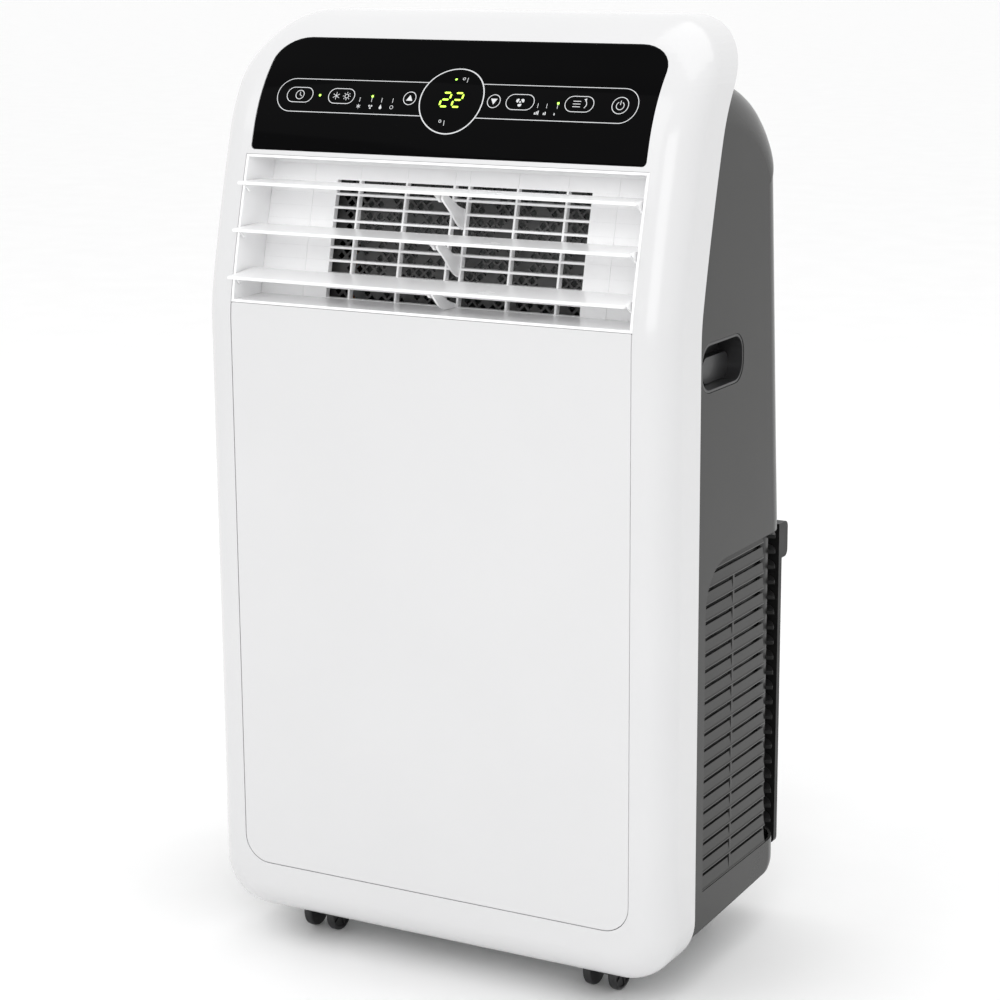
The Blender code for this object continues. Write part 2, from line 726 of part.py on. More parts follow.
def casters():
    for x, y, place in caster_places():
        axle = Vector((x, y + WHEEL_TRAIL, WHEEL_R))
        bm = bmesh.new()
        body = [(y - 0.013, 0.0455), (y - 0.013, 0.034)]
        body += [(axle.y - 0.008, 0.0105), (axle.y + 0.008, 0.0105), (axle.y + 0.015, 0.021)]
        body += [(axle.y + 0.011, 0.035), (y + 0.013, 0.0455)]
        prism(bm, body, "x", x - 0.004, x + 0.004)
        hood = part(f"caster_{place}_hood", bm, BLACK)
        plate = bmesh.new()
        cylinder(plate, (x, y, 0.0435), 0.0130, 0.004, "z", 16)
        join(hood, plate)
        stem = bmesh.new()
        cylinder(stem, (x, y, 0.050), 0.0038, 0.014, "z", 12)
        join(hood, stem)
        bore = bmesh.new()
        cylinder(bore, axle, 0.0034, 0.05, "x", 12)
        cut(hood, bore)
        set_pivot(hood, (x, y, 0.0435))

        bm = bmesh.new()
        cylinder(bm, axle, 0.0030, 0.020, "x", 12)
        wheels = part(f"caster_{place}_wheels", bm, BLACK)
        for side in (-1, 1):
            disc = bmesh.new()
            cylinder(disc, axle + Vector((side * 0.0120, 0, 0)), WHEEL_R, 0.008, "x", 24)
            join(wheels, disc)
        set_pivot(wheels, axle)


def compressor():
    bm = bmesh.new()
    x, y = -0.125, FRONT + 0.125
    cylinder(bm, (x, y, 0.166), 0.052, 0.150, "z", 24)
    shell = part("compressor", bm, BLACK)
    for z, end, size in ((0.249, 0.022, 0.016), (0.083, 0.052, 0.016)):
        dome = bmesh.new()
        first = 0.052 if z > 0.2 else 0.030
        cylinder(dome, (x, y, z), first, size, "z", 24, end)
        join(shell, dome)
    foot = bmesh.new()
    prism(foot, arc((x, y), 0.070, 90, 330, 2), "z", 0.0715, 0.0765)
    join(shell, foot)
    for angle in (90, 210, 330):
        post = bmesh.new()
        cylinder(post, (x + 0.056 * cos(radians(angle)), y + 0.056 * sin(radians(angle)), 0.0615),
                 0.008, 0.0205, "z", 10)
        join(shell, post)


def coils():
    low_y = FRONT + 0.243
    slabs = (("condenser_coil", (-0.168, low_y, 0.088), (0.168, low_y + 0.026, 0.350)),
             ("evaporator_coil", (-0.165, FRONT + 0.203, 0.556), (0.165, FRONT + 0.227, 0.716)))
    for name, low, high in slabs:
        bm = bmesh.new()
        box(bm, low, high)
        coil = part(name, bm, FINS)
        for side in (-1, 1):
            x = low[0] if side < 0 else high[0]
            bends = bmesh.new()
            rows = 5
            for row in range(rows):
                z = low[2] + (high[2] - low[2]) * (row + 0.5) / rows
                box(bends, (min(x, x + side * 0.010), low[1] + 0.005, z - 0.012),
                    (max(x, x + side * 0.010), low[1] + 0.012, z + 0.012))
            join(coil, bends)


FAN_X, FAN_Z = 0.045, 0.250


def exhaust_side():
    """Scroll, wheel and motor of the exhaust fan: air leaves upwards and out of the collar."""
    y0, y1 = FRONT + 0.150, FRONT + 0.222
    centre = (FAN_X, FAN_Z)

    def scroll(margin):
        radius = 0.104 - margin
        outline = arc(centre, radius, 180, 360, 12)
        return outline + [(FAN_X + radius, 0.5275 - margin), (FAN_X - radius, 0.5275 - margin)]

    bm = bmesh.new()
    prism(bm, scroll(0), "y", y0, y1)
    case = part("exhaust_scroll", bm, INNER)
    neck = bmesh.new()
    box(neck, (-0.084, y1 - 0.01, 0.3725), (0.084, FRONT + 0.2485, 0.5275))
    join(case, neck)
    hollow = bmesh.new()
    prism(hollow, scroll(0.0022), "y", y0 + 0.0022, y1 - 0.0022)
    cut(case, hollow)
    hollow = bmesh.new()
    box(hollow, (-0.0818, y1 - 0.02, 0.3747), (0.0818, FRONT + 0.26, 0.5253))
    cut(case, hollow)
    inlet = bmesh.new()
    cylinder(inlet, (FAN_X, y1, FAN_Z), 0.062, 0.03, "y", 24)
    cut(case, inlet)
    bore = bmesh.new()
    cylinder(bore, (FAN_X, y0, FAN_Z), 0.007, 0.03, "y", 12)
    cut(case, bore)

    wheel_profile = [(0.010, 0.160), (0.084, 0.160), (0.084, 0.212), (0.070, 0.212),
                     (0.070, 0.163), (0.010, 0.163), (0.010, 0.190), (0.0001, 0.190),
                     (0.0001, 0.130), (0.0040, 0.130), (0.0040, 0.160)]
    turned("exhaust_fan_wheel", wheel_profile, (FAN_X, FRONT, FAN_Z), INNER, 24)
    fan_motor("exhaust_fan_motor", (FAN_X, FRONT + 0.118, FAN_Z), 0.040, 0.052, "y")


def fan_motor(name, centre, radius, length, axis):
    bm = bmesh.new()
    cylinder(bm, centre, radius, length, axis, 20)
    motor = part(name, bm, ZINC)
    bore = bmesh.new()
    cylinder(bore, centre, 0.0046, 2 * length, axis, 10)
    cut(motor, bore)


def pipes():
    """Copper lines between the compressor and the two coils."""
    x, y = -0.125, FRONT + 0.125
    routes = {
        "discharge_pipe": [(x + 0.015, y - 0.020, 0.262), (x + 0.015, y - 0.020, 0.300),
                           (x + 0.005, y + 0.030, 0.320), (-0.160, FRONT + 0.215, 0.320),
                           (-0.190, FRONT + 0.240, 0.315), (-0.190, FRONT + 0.250, 0.300)],
        "suction_pipe": [(x - 0.012, y + 0.015, 0.262), (x - 0.012, y + 0.015, 0.285),
                         (-0.176, y + 0.015, 0.320), (-0.176, FRONT + 0.170, 0.400),
                         (-0.176, FRONT + 0.180, 0.600), (-0.176, FRONT + 0.196, 0.625)],
    }
    for name, route in routes.items():
        curve = bpy.data.curves.new(name, "CURVE")
        curve.dimensions = "3D"
        curve.bevel_depth = 0.0035
        curve.bevel_resolution = 1
        curve.use_fill_caps = True
        spline = curve.splines.new("POLY")
        points = smooth_route(route)
        spline.points.add(len(points) - 1)
        for target, point in zip(spline.points, points):
            target.co = (*point, 1.0)
        pipe = bpy.data.objects.new(name, curve)
        curve.materials.append(finish_material(name, COPPER))
        PARTS.objects.link(pipe)


def smooth_route(route, rounds=2):
    """Round a route's corners by cutting them, so that the tube bends gently."""
    points = [Vector(point) for point in route]
    for _ in range(rounds):
        cutoff = [points[0]]
        for first, second in zip(points, points[1:]):
            cutoff += [first.lerp(second, 0.25), first.lerp(second, 0.75)]
        points = cutoff + [points[-1]]
    return points


# ---- inside: upper half ---------------------------------------------------------------------
def drain_deck():
    """Tray between the two halves, which catches the evaporator's water."""
    half = 0.183
    bm = bmesh.new()
    box(bm, (-half, FRONT + 0.066, DECK_Z), (half, FRONT + 0.236, DECK_Z + 0.020))
    deck = part("drain_deck", bm, INNER)
    hollow = bmesh.new()
    box(hollow, (-half + 0.003, FRONT + 0.069, DECK_Z + 0.003),
        (half - 0.003, FRONT + 0.233, DECK_Z + 0.05))
    cut(deck, hollow)
    notch = bmesh.new()
    box(notch, (-half - 0.02, FRONT + 0.140, DECK_Z - 0.01), (-half + 0.017, FRONT + 0.200, DECK_Z + 0.05))
    cut(deck, notch)


WHEEL_Y, BLOWER_Z, BLOWER_R = FRONT + 0.145, 0.622, 0.046


def blower():
    bm = bmesh.new()
    cylinder(bm, (0, WHEEL_Y, BLOWER_Z), BLOWER_R, 0.240, "x", 20)
    wheel = part("blower_wheel", bm, INNER)
    hollow = bmesh.new()
    cylinder(hollow, (-0.02, WHEEL_Y, BLOWER_Z), BLOWER_R - 0.010, 0.230, "x", 20)
    cut(wheel, hollow)
    shaft = bmesh.new()
    cylinder(shaft, (0.135, WHEEL_Y, BLOWER_Z), 0.0040, 0.045, "x", 10)
    join(wheel, shaft)
    set_pivot(wheel, (0, WHEEL_Y, BLOWER_Z))
    fan_motor("blower_motor", (0.160, WHEEL_Y, BLOWER_Z), 0.030, 0.044, "x")

    outer, inner = BLOWER_R + 0.010, BLOWER_R + 0.007
    bm = bmesh.new()
    sweep = arc((WHEEL_Y, BLOWER_Z), outer, -150, 20, 10)
    sweep += list(reversed(arc((WHEEL_Y, BLOWER_Z), inner, -150, 20, 10)))
    prism(bm, sweep, "x", -0.130, 0.130)
    part("blower_housing", bm, INNER)


def electrics():
    bm = bmesh.new()
    box(bm, (-0.030, FRONT + 0.012, 0.300), (0.150, FRONT + 0.055, 0.440))
    part("electrical_box", bm, ZINC)
    bm = bmesh.new()
    cylinder(bm, (0.175, FRONT + 0.034, 0.370), 0.019, 0.090, "z", 16)
    part("run_capacitor", bm, FINS)


def screws():
    for index, (x, z) in enumerate(((-0.150, 0.715), (0.150, 0.715), (-0.184, 0.470), (0.184, 0.470))):
        y = FRONT + (rear_face(z) if z < REAR_TOP else 0.2554)
        past = max(0, abs(x) - HOUSING_HALF + HOUSING_ROUND)
        inset = HOUSING_ROUND - sqrt(HOUSING_ROUND ** 2 - past ** 2)
        bm = bmesh.new()
        cylinder(bm, (x, y - inset + 0.0022, z), 0.004, 0.0024, "y", 12, 0.003)
        part(f"housing_screw_{index + 1}", bm, ZINC)


def build():
    front_shell()
    front_panel()
    control_fascia()
    outlet_duct()
    outlet_grille()
    outlet_guard()
    for index, place in enumerate(("lower", "middle", "upper")):
        louvre(index, f"louvre_{place}")
        louvre_support(index, f"louvre_support_{place}")
    louvre_link()
    swing_motor()
    rear_housing()
    side_grilles()
    grip_cups()
    rear_grille()
    filter_unit()
    exhaust_collar()
    drain_and_cord()
    base_pan()
    casters()
    compressor()
    coils()
    exhaust_side()
    pipes()
    drain_deck()
    blower()
    electrics()
    screws()


build()
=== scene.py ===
"""Looks of the portable air conditioner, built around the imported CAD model.

Units are metres in the CAD frame: +Z is up and the front faces -Y. A depth is measured backwards
from the flat front panel, whose y is FRONT. The front leans back above the panel, and
front_lean() says by how much at a height.
"""

from math import asin, cos, hypot, pi, radians, sin, sqrt, tan

import bmesh
import bpy
from mathutils import Matrix, Vector


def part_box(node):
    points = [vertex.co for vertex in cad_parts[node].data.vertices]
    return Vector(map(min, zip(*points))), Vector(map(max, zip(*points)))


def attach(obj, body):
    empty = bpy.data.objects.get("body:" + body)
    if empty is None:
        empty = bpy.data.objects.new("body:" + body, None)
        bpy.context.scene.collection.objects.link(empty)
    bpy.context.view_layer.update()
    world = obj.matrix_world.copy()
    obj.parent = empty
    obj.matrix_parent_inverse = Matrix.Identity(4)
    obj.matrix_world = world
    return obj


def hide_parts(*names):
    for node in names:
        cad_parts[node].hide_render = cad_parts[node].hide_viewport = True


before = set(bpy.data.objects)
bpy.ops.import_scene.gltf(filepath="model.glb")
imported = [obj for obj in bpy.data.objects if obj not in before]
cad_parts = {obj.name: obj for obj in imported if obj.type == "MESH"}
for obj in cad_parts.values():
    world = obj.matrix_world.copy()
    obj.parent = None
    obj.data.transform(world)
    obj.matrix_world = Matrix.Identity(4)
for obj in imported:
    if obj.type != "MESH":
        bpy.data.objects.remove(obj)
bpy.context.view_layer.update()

# ---- driving dimensions, the CAD model's own --------------------------------------------------
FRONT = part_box("front_panel")[0].y
HALF_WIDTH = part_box("front_shell")[1].x
BOTTOM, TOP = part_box("front_shell")[0].z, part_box("front_shell")[1].z
SHELL_DEPTH, SHELL_WALL = 0.061, 0.0025
CORNER_LOW, CORNER_HIGH, EDGE_ROUND = 0.045, 0.058, 0.028

PANEL_HALF, PANEL_BOTTOM, PANEL_TOP = 0.190, 0.076, 0.5788
PANEL_CORNER = 0.024
SEAM = 0.00045
MOUTH_TOP, MOUTH_DEPTH = 0.702, 0.043
FASCIA_HALF, FASCIA_BOTTOM, FASCIA_TOP = 0.1862, 0.7057, 0.7975

# the front leans back in arcs: height where each ends, and the lean there in degrees
LEAN_START = 0.560
LEAN_ARCS = ((0.591, 12.0), (0.722, 17.0), (0.775, 42.0))
LEAN_STEP = 0.006

LOUVRE_NAMES = ("louvre_lower", "louvre_middle", "louvre_upper")
LOUVRE_PITCH, LOUVRE_LOW_AXIS, LOUVRE_INSET = 0.0382, 0.5975, 0.0058
LOUVRE_FRONT, LOUVRE_REAR, LOUVRE_HALF = 0.018, 0.0206, 0.1862
LOUVRE_TILTS = (5.0, 1.5, -1.5)          # degrees at rest, rear edge high, lowest louvre first
CRANK, CRANK_ANGLE = 0.012, -35.0
ARM_X = 0.0042

HOUSING_HALF, HOUSING_WALL, HOUSING_ROUND = 0.211, 0.0025, 0.040
REAR, REAR_KINK, REAR_TOP = 0.283, 0.380, 0.691
REAR_LEAN = 0.0225 / (REAR_TOP - REAR_KINK)
PAN_Z = 0.047

SLAT_FRONT, SLAT_LOW, SLAT_HIGH, SLAT_CORNER = 0.101, 0.083, 0.369, 0.040
SLOT_COUNT, SLOT_PITCH, SLOT_TOP = 20, 0.01392, 0.362
GRIP_FRONT, GRIP_REAR, GRIP_LOW, GRIP_HIGH, GRIP_ROUND = 0.0875, 0.1725, 0.516, 0.558, 0.017
REAR_WINDOW = (0.172, 0.078, 0.358)
FILTER_WINDOW = (0.165, 0.536, 0.690)
EXHAUST_Z, EXHAUST_R = 0.450, 0.0715
DRAIN_X, GLAND_X, DRAIN_Z = 0.140, -0.150, 0.505   # drain port and cord gland, one height
HOUSING_FRONT_STEPS = 12                 # points down the housing's open front edge


# ---- materials --------------------------------------------------------------------------------
def new_material(name, colour, roughness, metallic=0.0, coat=0.0, coat_roughness=0.1):
    material = bpy.data.materials.new(name)
    material.use_nodes = True
    shader = material.node_tree.nodes["Principled BSDF"]
    shader.inputs["Base Color"].default_value = (*colour, 1.0)
    shader.inputs["Roughness"].default_value = roughness
    shader.inputs["Metallic"].default_value = metallic
    shader.inputs["Coat Weight"].default_value = coat
    shader.inputs["Coat Roughness"].default_value = coat_roughness
    return material


def add_node(material, kind, **values):
    node = material.node_tree.nodes.new(kind)
    for key, value in values.items():
        setattr(node, key, value)
    return node


def object_coordinates(material, stretch=(1.0, 1.0, 1.0)):
    links = material.node_tree.links
    coordinates = add_node(material, "ShaderNodeTexCoord")
    mapping = add_node(material, "ShaderNodeMapping")
    mapping.inputs["Scale"].default_value = stretch
    links.new(coordinates.outputs["Object"], mapping.inputs["Vector"])
    return mapping.outputs["Vector"]


def noise(material, vector, scale, detail=3.0):
    node = add_node(material, "ShaderNodeTexNoise")
    node.inputs["Scale"].default_value = scale
    node.inputs["Detail"].default_value = detail
    material.node_tree.links.new(vector, node.inputs["Vector"])
    return node.outputs["Fac"]


def spread(material, value, low, high):
    """Map a 0 to 1 value onto a range."""
    node = add_node(material, "ShaderNodeMapRange")
    node.inputs["From Min"].default_value = 0.25
    node.inputs["From Max"].default_value = 0.75
    node.inputs["To Min"].default_value = low
    node.inputs["To Max"].default_value = high
    material.node_tree.links.new(value, node.inputs["Value"])
    return node.outputs["Result"]


def two_colours(material, value, first, second):
    ramp = add_node(material, "ShaderNodeValToRGB")
    ramp.color_ramp.elements[0].position = 0.3
    ramp.color_ramp.elements[1].position = 0.7
    ramp.color_ramp.elements[0].color = (*first, 1.0)
    ramp.color_ramp.elements[1].color = (*second, 1.0)
    material.node_tree.links.new(value, ramp.inputs["Fac"])
    return ramp.outputs["Color"]


def set_bump(material, height, strength, distance):
    links = material.node_tree.links
    bump = add_node(material, "ShaderNodeBump")
    bump.inputs["Strength"].default_value = strength
    bump.inputs["Distance"].default_value = distance
    links.new(height, bump.inputs["Height"])
    links.new(bump.outputs["Normal"], shader_of(material).inputs["Normal"])


def shader_of(material):
    return material.node_tree.nodes["Principled BSDF"]


def moulded(name, colour, roughness, grain, depth, coat=0.0, variation=0.03, coat_roughness=0.1):
    """Injection-moulded plastic: fine surface grain, slight flow marks and patchy gloss."""
    material = new_material(name, colour, roughness, 0.0, coat, coat_roughness)
    links, shader = material.node_tree.links, shader_of(material)
    vector = object_coordinates(material)
    flow = noise(material, vector, 9.0, 4.0)
    darker = tuple(channel * (1.0 - variation) for channel in colour)
    brighter = tuple(min(1.0, channel * (1.0 + variation)) for channel in colour)
    links.new(two_colours(material, flow, darker, brighter), shader.inputs["Base Color"])
    patches = noise(material, vector, 26.0, 5.0)
    links.new(spread(material, patches, roughness * 0.88, roughness * 1.12), shader.inputs["Roughness"])
    set_bump(material, noise(material, vector, grain, 2.0), 0.35, depth)
    return material


def brushed(name, colour, roughness, stretch):
    """Rolled or drawn metal: fine streaks along one direction."""
    material = new_material(name, colour, roughness, 1.0)
    links, shader = material.node_tree.links, shader_of(material)
    streaks = noise(material, object_coordinates(material, stretch), 60.0, 4.0)
    darker = tuple(channel * 0.82 for channel in colour)
    links.new(two_colours(material, streaks, darker, colour), shader.inputs["Base Color"])
    links.new(spread(material, streaks, roughness * 0.8, roughness * 1.3), shader.inputs["Roughness"])
    set_bump(material, streaks, 0.25, 0.0002)
    return material


def banded(name, dark, light, roughness, metallic, direction, scale):
    """Thin parallel bands, such as the fins of a coil."""
    material = new_material(name, light, roughness, metallic)
    links, shader = material.node_tree.links, shader_of(material)
    wave = add_node(material, "ShaderNodeTexWave", bands_direction=direction)
    wave.inputs["Scale"].default_value = scale
    wave.inputs["Distortion"].default_value = 0.2
    links.new(object_coordinates(material), wave.inputs["Vector"])
    links.new(two_colours(material, wave.outputs["Fac"], dark, light), shader.inputs["Base Color"])
    set_bump(material, wave.outputs["Fac"], 0.6, 0.0006)
    return material


def circuit_board():
    material = new_material("circuit_board", (0.02, 0.16, 0.07), 0.4, 0.0, 0.3)
    links, shader = material.node_tree.links, shader_of(material)
    bricks = add_node(material, "ShaderNodeTexBrick")
    for socket, colour in (("Color1", (0.02, 0.17, 0.07)), ("Color2", (0.015, 0.12, 0.05)),
                           ("Mortar", (0.05, 0.30, 0.12))):
        bricks.inputs[socket].default_value = (*colour, 1.0)
    bricks.inputs["Scale"].default_value = 90.0
    links.new(object_coordinates(material), bricks.inputs["Vector"])
    links.new(bricks.outputs["Color"], shader.inputs["Base Color"])
    set_bump(material, bricks.outputs["Fac"], 0.4, 0.0002)
    return material


def woven(name, dark, light):
    """Fine net: two crossed sets of threads."""
    material = new_material(name, dark, 0.8)
    links, shader = material.node_tree.links, shader_of(material)
    vector = object_coordinates(material)
    threads = []
    for direction in ("X", "Z"):
        wave = add_node(material, "ShaderNodeTexWave", bands_direction=direction)
        wave.inputs["Scale"].default_value = 260.0
        links.new(vector, wave.inputs["Vector"])
        threads.append(wave.outputs["Fac"])
    crossed = add_node(material, "ShaderNodeMath", operation="MAXIMUM")
    links.new(threads[0], crossed.inputs[0])
    links.new(threads[1], crossed.inputs[1])
    links.new(two_colours(material, crossed.outputs["Value"], dark, light), shader.inputs["Base Color"])
    set_bump(material, crossed.outputs["Value"], 0.8, 0.0005)
    return material


def lit(name, colour, strength):
    """A light-emitting segment behind smoked plastic, its brightness varying slightly in fine noise."""
    material = new_material(name, colour, 0.3)
    links, shader = material.node_tree.links, shader_of(material)
    glow = noise(material, object_coordinates(material), 300.0, 2.0)
    dimmer = tuple(channel * 0.85 for channel in colour)
    links.new(two_colours(material, glow, dimmer, colour), shader.inputs["Emission Color"])
    shader.inputs["Emission Strength"].default_value = strength
    return material


WHITE = moulded("white_gloss", (0.645, 0.645, 0.65), 0.22, 700.0, 0.00004, 0.35, 0.008, 0.06)
# Painted light: the outlet's duct, grille, arms and louvres are the same white plastic as the shell, but
# this copy of its colour is painted far brighter than white_gloss to stand in for light inside the outlet's
# shaded hollow.
OUTLET_PAINTED_LIGHT_WHITE = moulded("outlet_white_painted_light", (0.94, 0.94, 0.945), 0.25, 700.0, 0.00004, 0.25, 0.008, 0.08)
PIANO = moulded("piano_black", (0.0018, 0.0018, 0.0020), 0.05, 300.0, 0.00001, 0.0, 0.10, 0.02)
shader_of(PIANO).inputs["Specular IOR Level"].default_value = 0.02
GREY = moulded("graphite_grey", (0.036, 0.036, 0.035), 0.24, 900.0, 0.00002, 0.03, 0.05, 0.12)
shader_of(GREY).inputs["Specular IOR Level"].default_value = 0.16
BLACK = moulded("textured_black", (0.010, 0.010, 0.010), 0.42, 1400.0, 0.00015, 0.0, 0.15)
shader_of(BLACK).inputs["Specular IOR Level"].default_value = 0.20
MESH = moulded("guard_grey", (0.055, 0.055, 0.055), 0.45, 900.0, 0.0001, 0.0, 0.20)
CUP = moulded("grip_inner", (0.022, 0.022, 0.023), 0.34, 900.0, 0.0001, 0.1, 0.10)
INNER = moulded("inner_plastic", (0.30, 0.31, 0.31), 0.55, 800.0, 0.0001, 0.0, 0.08)
RUBBER = moulded("rubber", (0.022, 0.022, 0.022), 0.75, 1100.0, 0.0002, 0.0, 0.15)
TREAD = moulded("wheel_tread", (0.016, 0.016, 0.017), 0.55, 1200.0, 0.0002, 0.0, 0.20)
ENAMEL = moulded("black_enamel", (0.012, 0.012, 0.013), 0.25, 500.0, 0.0001, 0.3, 0.15)
ZINC = brushed("zinc_steel", (0.58, 0.59, 0.60), 0.32, (1.0, 8.0, 1.0))
COPPER = brushed("copper", (0.80, 0.38, 0.22), 0.28, (1.0, 1.0, 6.0))
FINS = banded("aluminium_fins", (0.25, 0.26, 0.27), (0.80, 0.81, 0.83), 0.35, 1.0, "X", 200.0)
BOARD = circuit_board()
NET = woven("filter_net", (0.010, 0.010, 0.010), (0.09, 0.09, 0.09))
PRINT = moulded("printed_marks", (0.62, 0.63, 0.64), 0.35, 900.0, 0.00001, 0.3, 0.02)
DIGITS = lit("digit_light", (0.52, 0.92, 0.06), 1.25)
LAMP = lit("indicator_light", (0.45, 1.0, 0.10), 1.5)


# ---- mesh helpers -----------------------------------------------------------------------------
def new_object(name, bm, material):
    bmesh.ops.recalc_face_normals(bm, faces=bm.faces)
    mesh = bpy.data.meshes.new(name)
    bm.to_mesh(mesh)
    bm.free()
    if material:
        mesh.materials.append(material)
    made = bpy.data.objects.new(name, mesh)
    bpy.context.scene.collection.objects.link(made)
    return made


def apply_modifiers(made):
    bpy.context.view_layer.update()
    evaluated = made.evaluated_get(bpy.context.evaluated_depsgraph_get())
    mesh = bpy.data.meshes.new_from_object(evaluated)
    made.modifiers.clear()
    made.data = mesh


def boolean(made, tools, operation="DIFFERENCE"):
    """Cut shapes out of an object, or join them on, one after another."""
    for bm in tools:
        tool = new_object("tool", bm, None)
        modifier = made.modifiers.new("Boolean", "BOOLEAN")
        modifier.operation = operation
        modifier.object = tool
        apply_modifiers(made)
        bpy.data.objects.remove(tool)


def soften(made, width, segments=2, angle=40.0):
    """Round every edge sharper than an angle."""
    bevel = made.modifiers.new("Bevel", "BEVEL")
    bevel.width = width
    bevel.segments = segments
    bevel.limit_method = "ANGLE"
    bevel.angle_limit = radians(angle)
    bevel.use_clamp_overlap = True
    apply_modifiers(made)


def shade(made, angle):
    """Smooth shading that keeps sharp edges and lets large faces set the normals."""
    made.data.shade_smooth()
    made.data.set_sharp_from_angle(angle=radians(angle))
    weighted = made.modifiers.new("Weighted", "WEIGHTED_NORMAL")
    weighted.keep_sharp = True
    weighted.weight = 80
    apply_modifiers(made)


def finish_piece(made, body, nodes=(), sharp=35.0):
    """Shade a piece, tie it to its body, and hide the CAD nodes that it stands for."""
    if sharp:
        shade(made, sharp)
    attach(made, body)
    if nodes:
        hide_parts(*nodes)


def box(low, high, bm=None):
    bm = bm or bmesh.new()
    size = [b - a for a, b in zip(low, high)]
    middle = [(a + b) / 2 for a, b in zip(low, high)]
    matrix = Matrix.Translation(middle) @ Matrix.Diagonal((*size, 1.0))
    bmesh.ops.create_cube(bm, size=1.0, matrix=matrix)
    return bm


AXIS_TURN = {
    "x": Matrix.Rotation(pi / 2, 4, "Y"),
    "y": Matrix.Rotation(-pi / 2, 4, "X"),
    "z": Matrix.Identity(4),
}


def cylinder(centre, radius, length, axis="z", segments=48, bm=None):
    bm = bm or bmesh.new()
    matrix = Matrix.Translation(centre) @ AXIS_TURN[axis]
    bmesh.ops.create_cone(bm, cap_ends=True, segments=segments, radius1=radius, radius2=radius,
                          depth=length, matrix=matrix)
    return bm


def prism(outline, axis, start, end, bm=None):
    """Extrude a flat outline. Its points are (x, z) along y, (y, z) along x or (x, y) along z."""
    bm = bm or bmesh.new()
    place = {
        "x": lambda a, b, c: (c, a, b),
        "y": lambda a, b, c: (a, c, b),
        "z": lambda a, b, c: (a, b, c),
    }[axis]
    face = bm.faces.new([bm.verts.new(place(a, b, start)) for a, b in outline])
    made = bmesh.ops.extrude_face_region(bm, geom=[face])
    moved = [item for item in made["geom"] if isinstance(item, bmesh.types.BMVert)]
    step = Vector(place(0, 0, end)) - Vector(place(0, 0, start))
    bmesh.ops.translate(bm, verts=moved, vec=step)
    return bm


def arc(centre, radius, start, end, steps, radius_b=None):
    """Points on a circle or ellipse, angles in degrees from the first axis to the second."""
    second = radius if radius_b is None else radius_b
    points = []
    for index in range(steps + 1):
        angle = radians(start + (end - start) * index / steps)
        points.append((centre[0] + radius * cos(angle), centre[1] + second * sin(angle)))
    return points


def rounded(a0, a1, b0, b1, low, high, steps=8, high_b=None):
    """Rectangle with rounded corners: radius low at b0 and high at b1, which may be elliptic."""
    tall = high if high_b is None else high_b
    outline = arc((a0 + low, b0 + low), low, 180, 270, steps)
    outline += arc((a1 - low, b0 + low), low, 270, 360, steps)
    outline += arc((a1 - high, b1 - tall), high, 0, 90, steps, tall)
    outline += arc((a0 + high, b1 - tall), high, 90, 180, steps, tall)
    return outline


def smooth_line(points, steps=4):
    """A curve through the points, by Catmull and Rom's formula."""
    line = []
    for index in range(len(points) - 1):
        p0, p3 = points[max(index - 1, 0)], points[min(index + 2, len(points) - 1)]
        p1, p2 = points[index], points[index + 1]
        for step in range(steps):
            t = step / steps
            line.append(tuple(
                0.5 * (2 * b + (c - a) * t + (2 * a - 5 * b + 4 * c - d) * t ** 2
                       + (3 * b - a - 3 * c + d) * t ** 3)
                for a, b, c, d in zip(p0, p1, p2, p3)))
    return line + [tuple(points[-1])]


# ---- the lean of the front and of the rear ------------------------------------------------------
def lean_at(z):
    """(how far back the front is at a height, the length along its surface from LEAN_START)."""
    depth, length, start, angle = 0.0, 0.0, LEAN_START, 0.0
    for end, end_angle in LEAN_ARCS:
        if z <= start:
            return depth, length + z - start
        first, last = sin(radians(angle)), sin(radians(end_angle))
        radius = (end - start) / (last - first)
        reached = first + (min(z, end) - start) / radius
        depth += radius * (sqrt(1 - first ** 2) - sqrt(1 - reached ** 2))
        length += radius * (asin_safe(reached) - asin_safe(first))
        start, angle = end, end_angle
    rest = max(0.0, z - start)
    return depth + rest * tan(radians(angle)), length + rest / cos(radians(angle))


def asin_safe(value):
    """Arcsine of a value that rounding may carry just past 1."""
    return asin(max(-1.0, min(1.0, value)))


def front_lean(z):
    return lean_at(z)[0]


def rear_face(z):
    """Depth of the grey housing's rear face at a height, below its rounded top."""
    return REAR - max(0.0, z - REAR_KINK) * REAR_LEAN


def follow_front(made):
    """Slice an upright object where the front bends, then lean it back with the front."""
    bm = bmesh.new()
    bm.from_mesh(made.data)
    low = max(LEAN_START, min(vert.co.z for vert in bm.verts))
    high = max(vert.co.z for vert in bm.verts)
    z = low + LEAN_STEP / 2
    while z < high - LEAN_STEP / 3:
        geometry = bm.verts[:] + bm.edges[:] + bm.faces[:]
        bmesh.ops.bisect_plane(bm, geom=geometry, plane_co=(0, 0, z), plane_no=(0, 0, 1), dist=1e-6)
        z += LEAN_STEP
    for vert in bm.verts:
        vert.co.y += front_lean(vert.co.z)
    bm.to_mesh(made.data)
    bm.free()


def follow_rear(made):
    """Lean an upright object forwards with the housing's rear face."""
    bm = bmesh.new()
    bm.from_mesh(made.data)
    for vert in bm.verts:
        vert.co.y += rear_face(vert.co.z) - REAR
    bm.to_mesh(made.data)
    bm.free()


# ---- front shell, panel and fascia --------------------------------------------------------------
FASCIA_CORNER = (0.030, 0.020)           # across and up, before the lean stretches it
RIM = 0.0007                             # rounding of the shell's cut edges
GLASS_INSET = 0.0002                     # how far the fascia lies behind the panel's surface


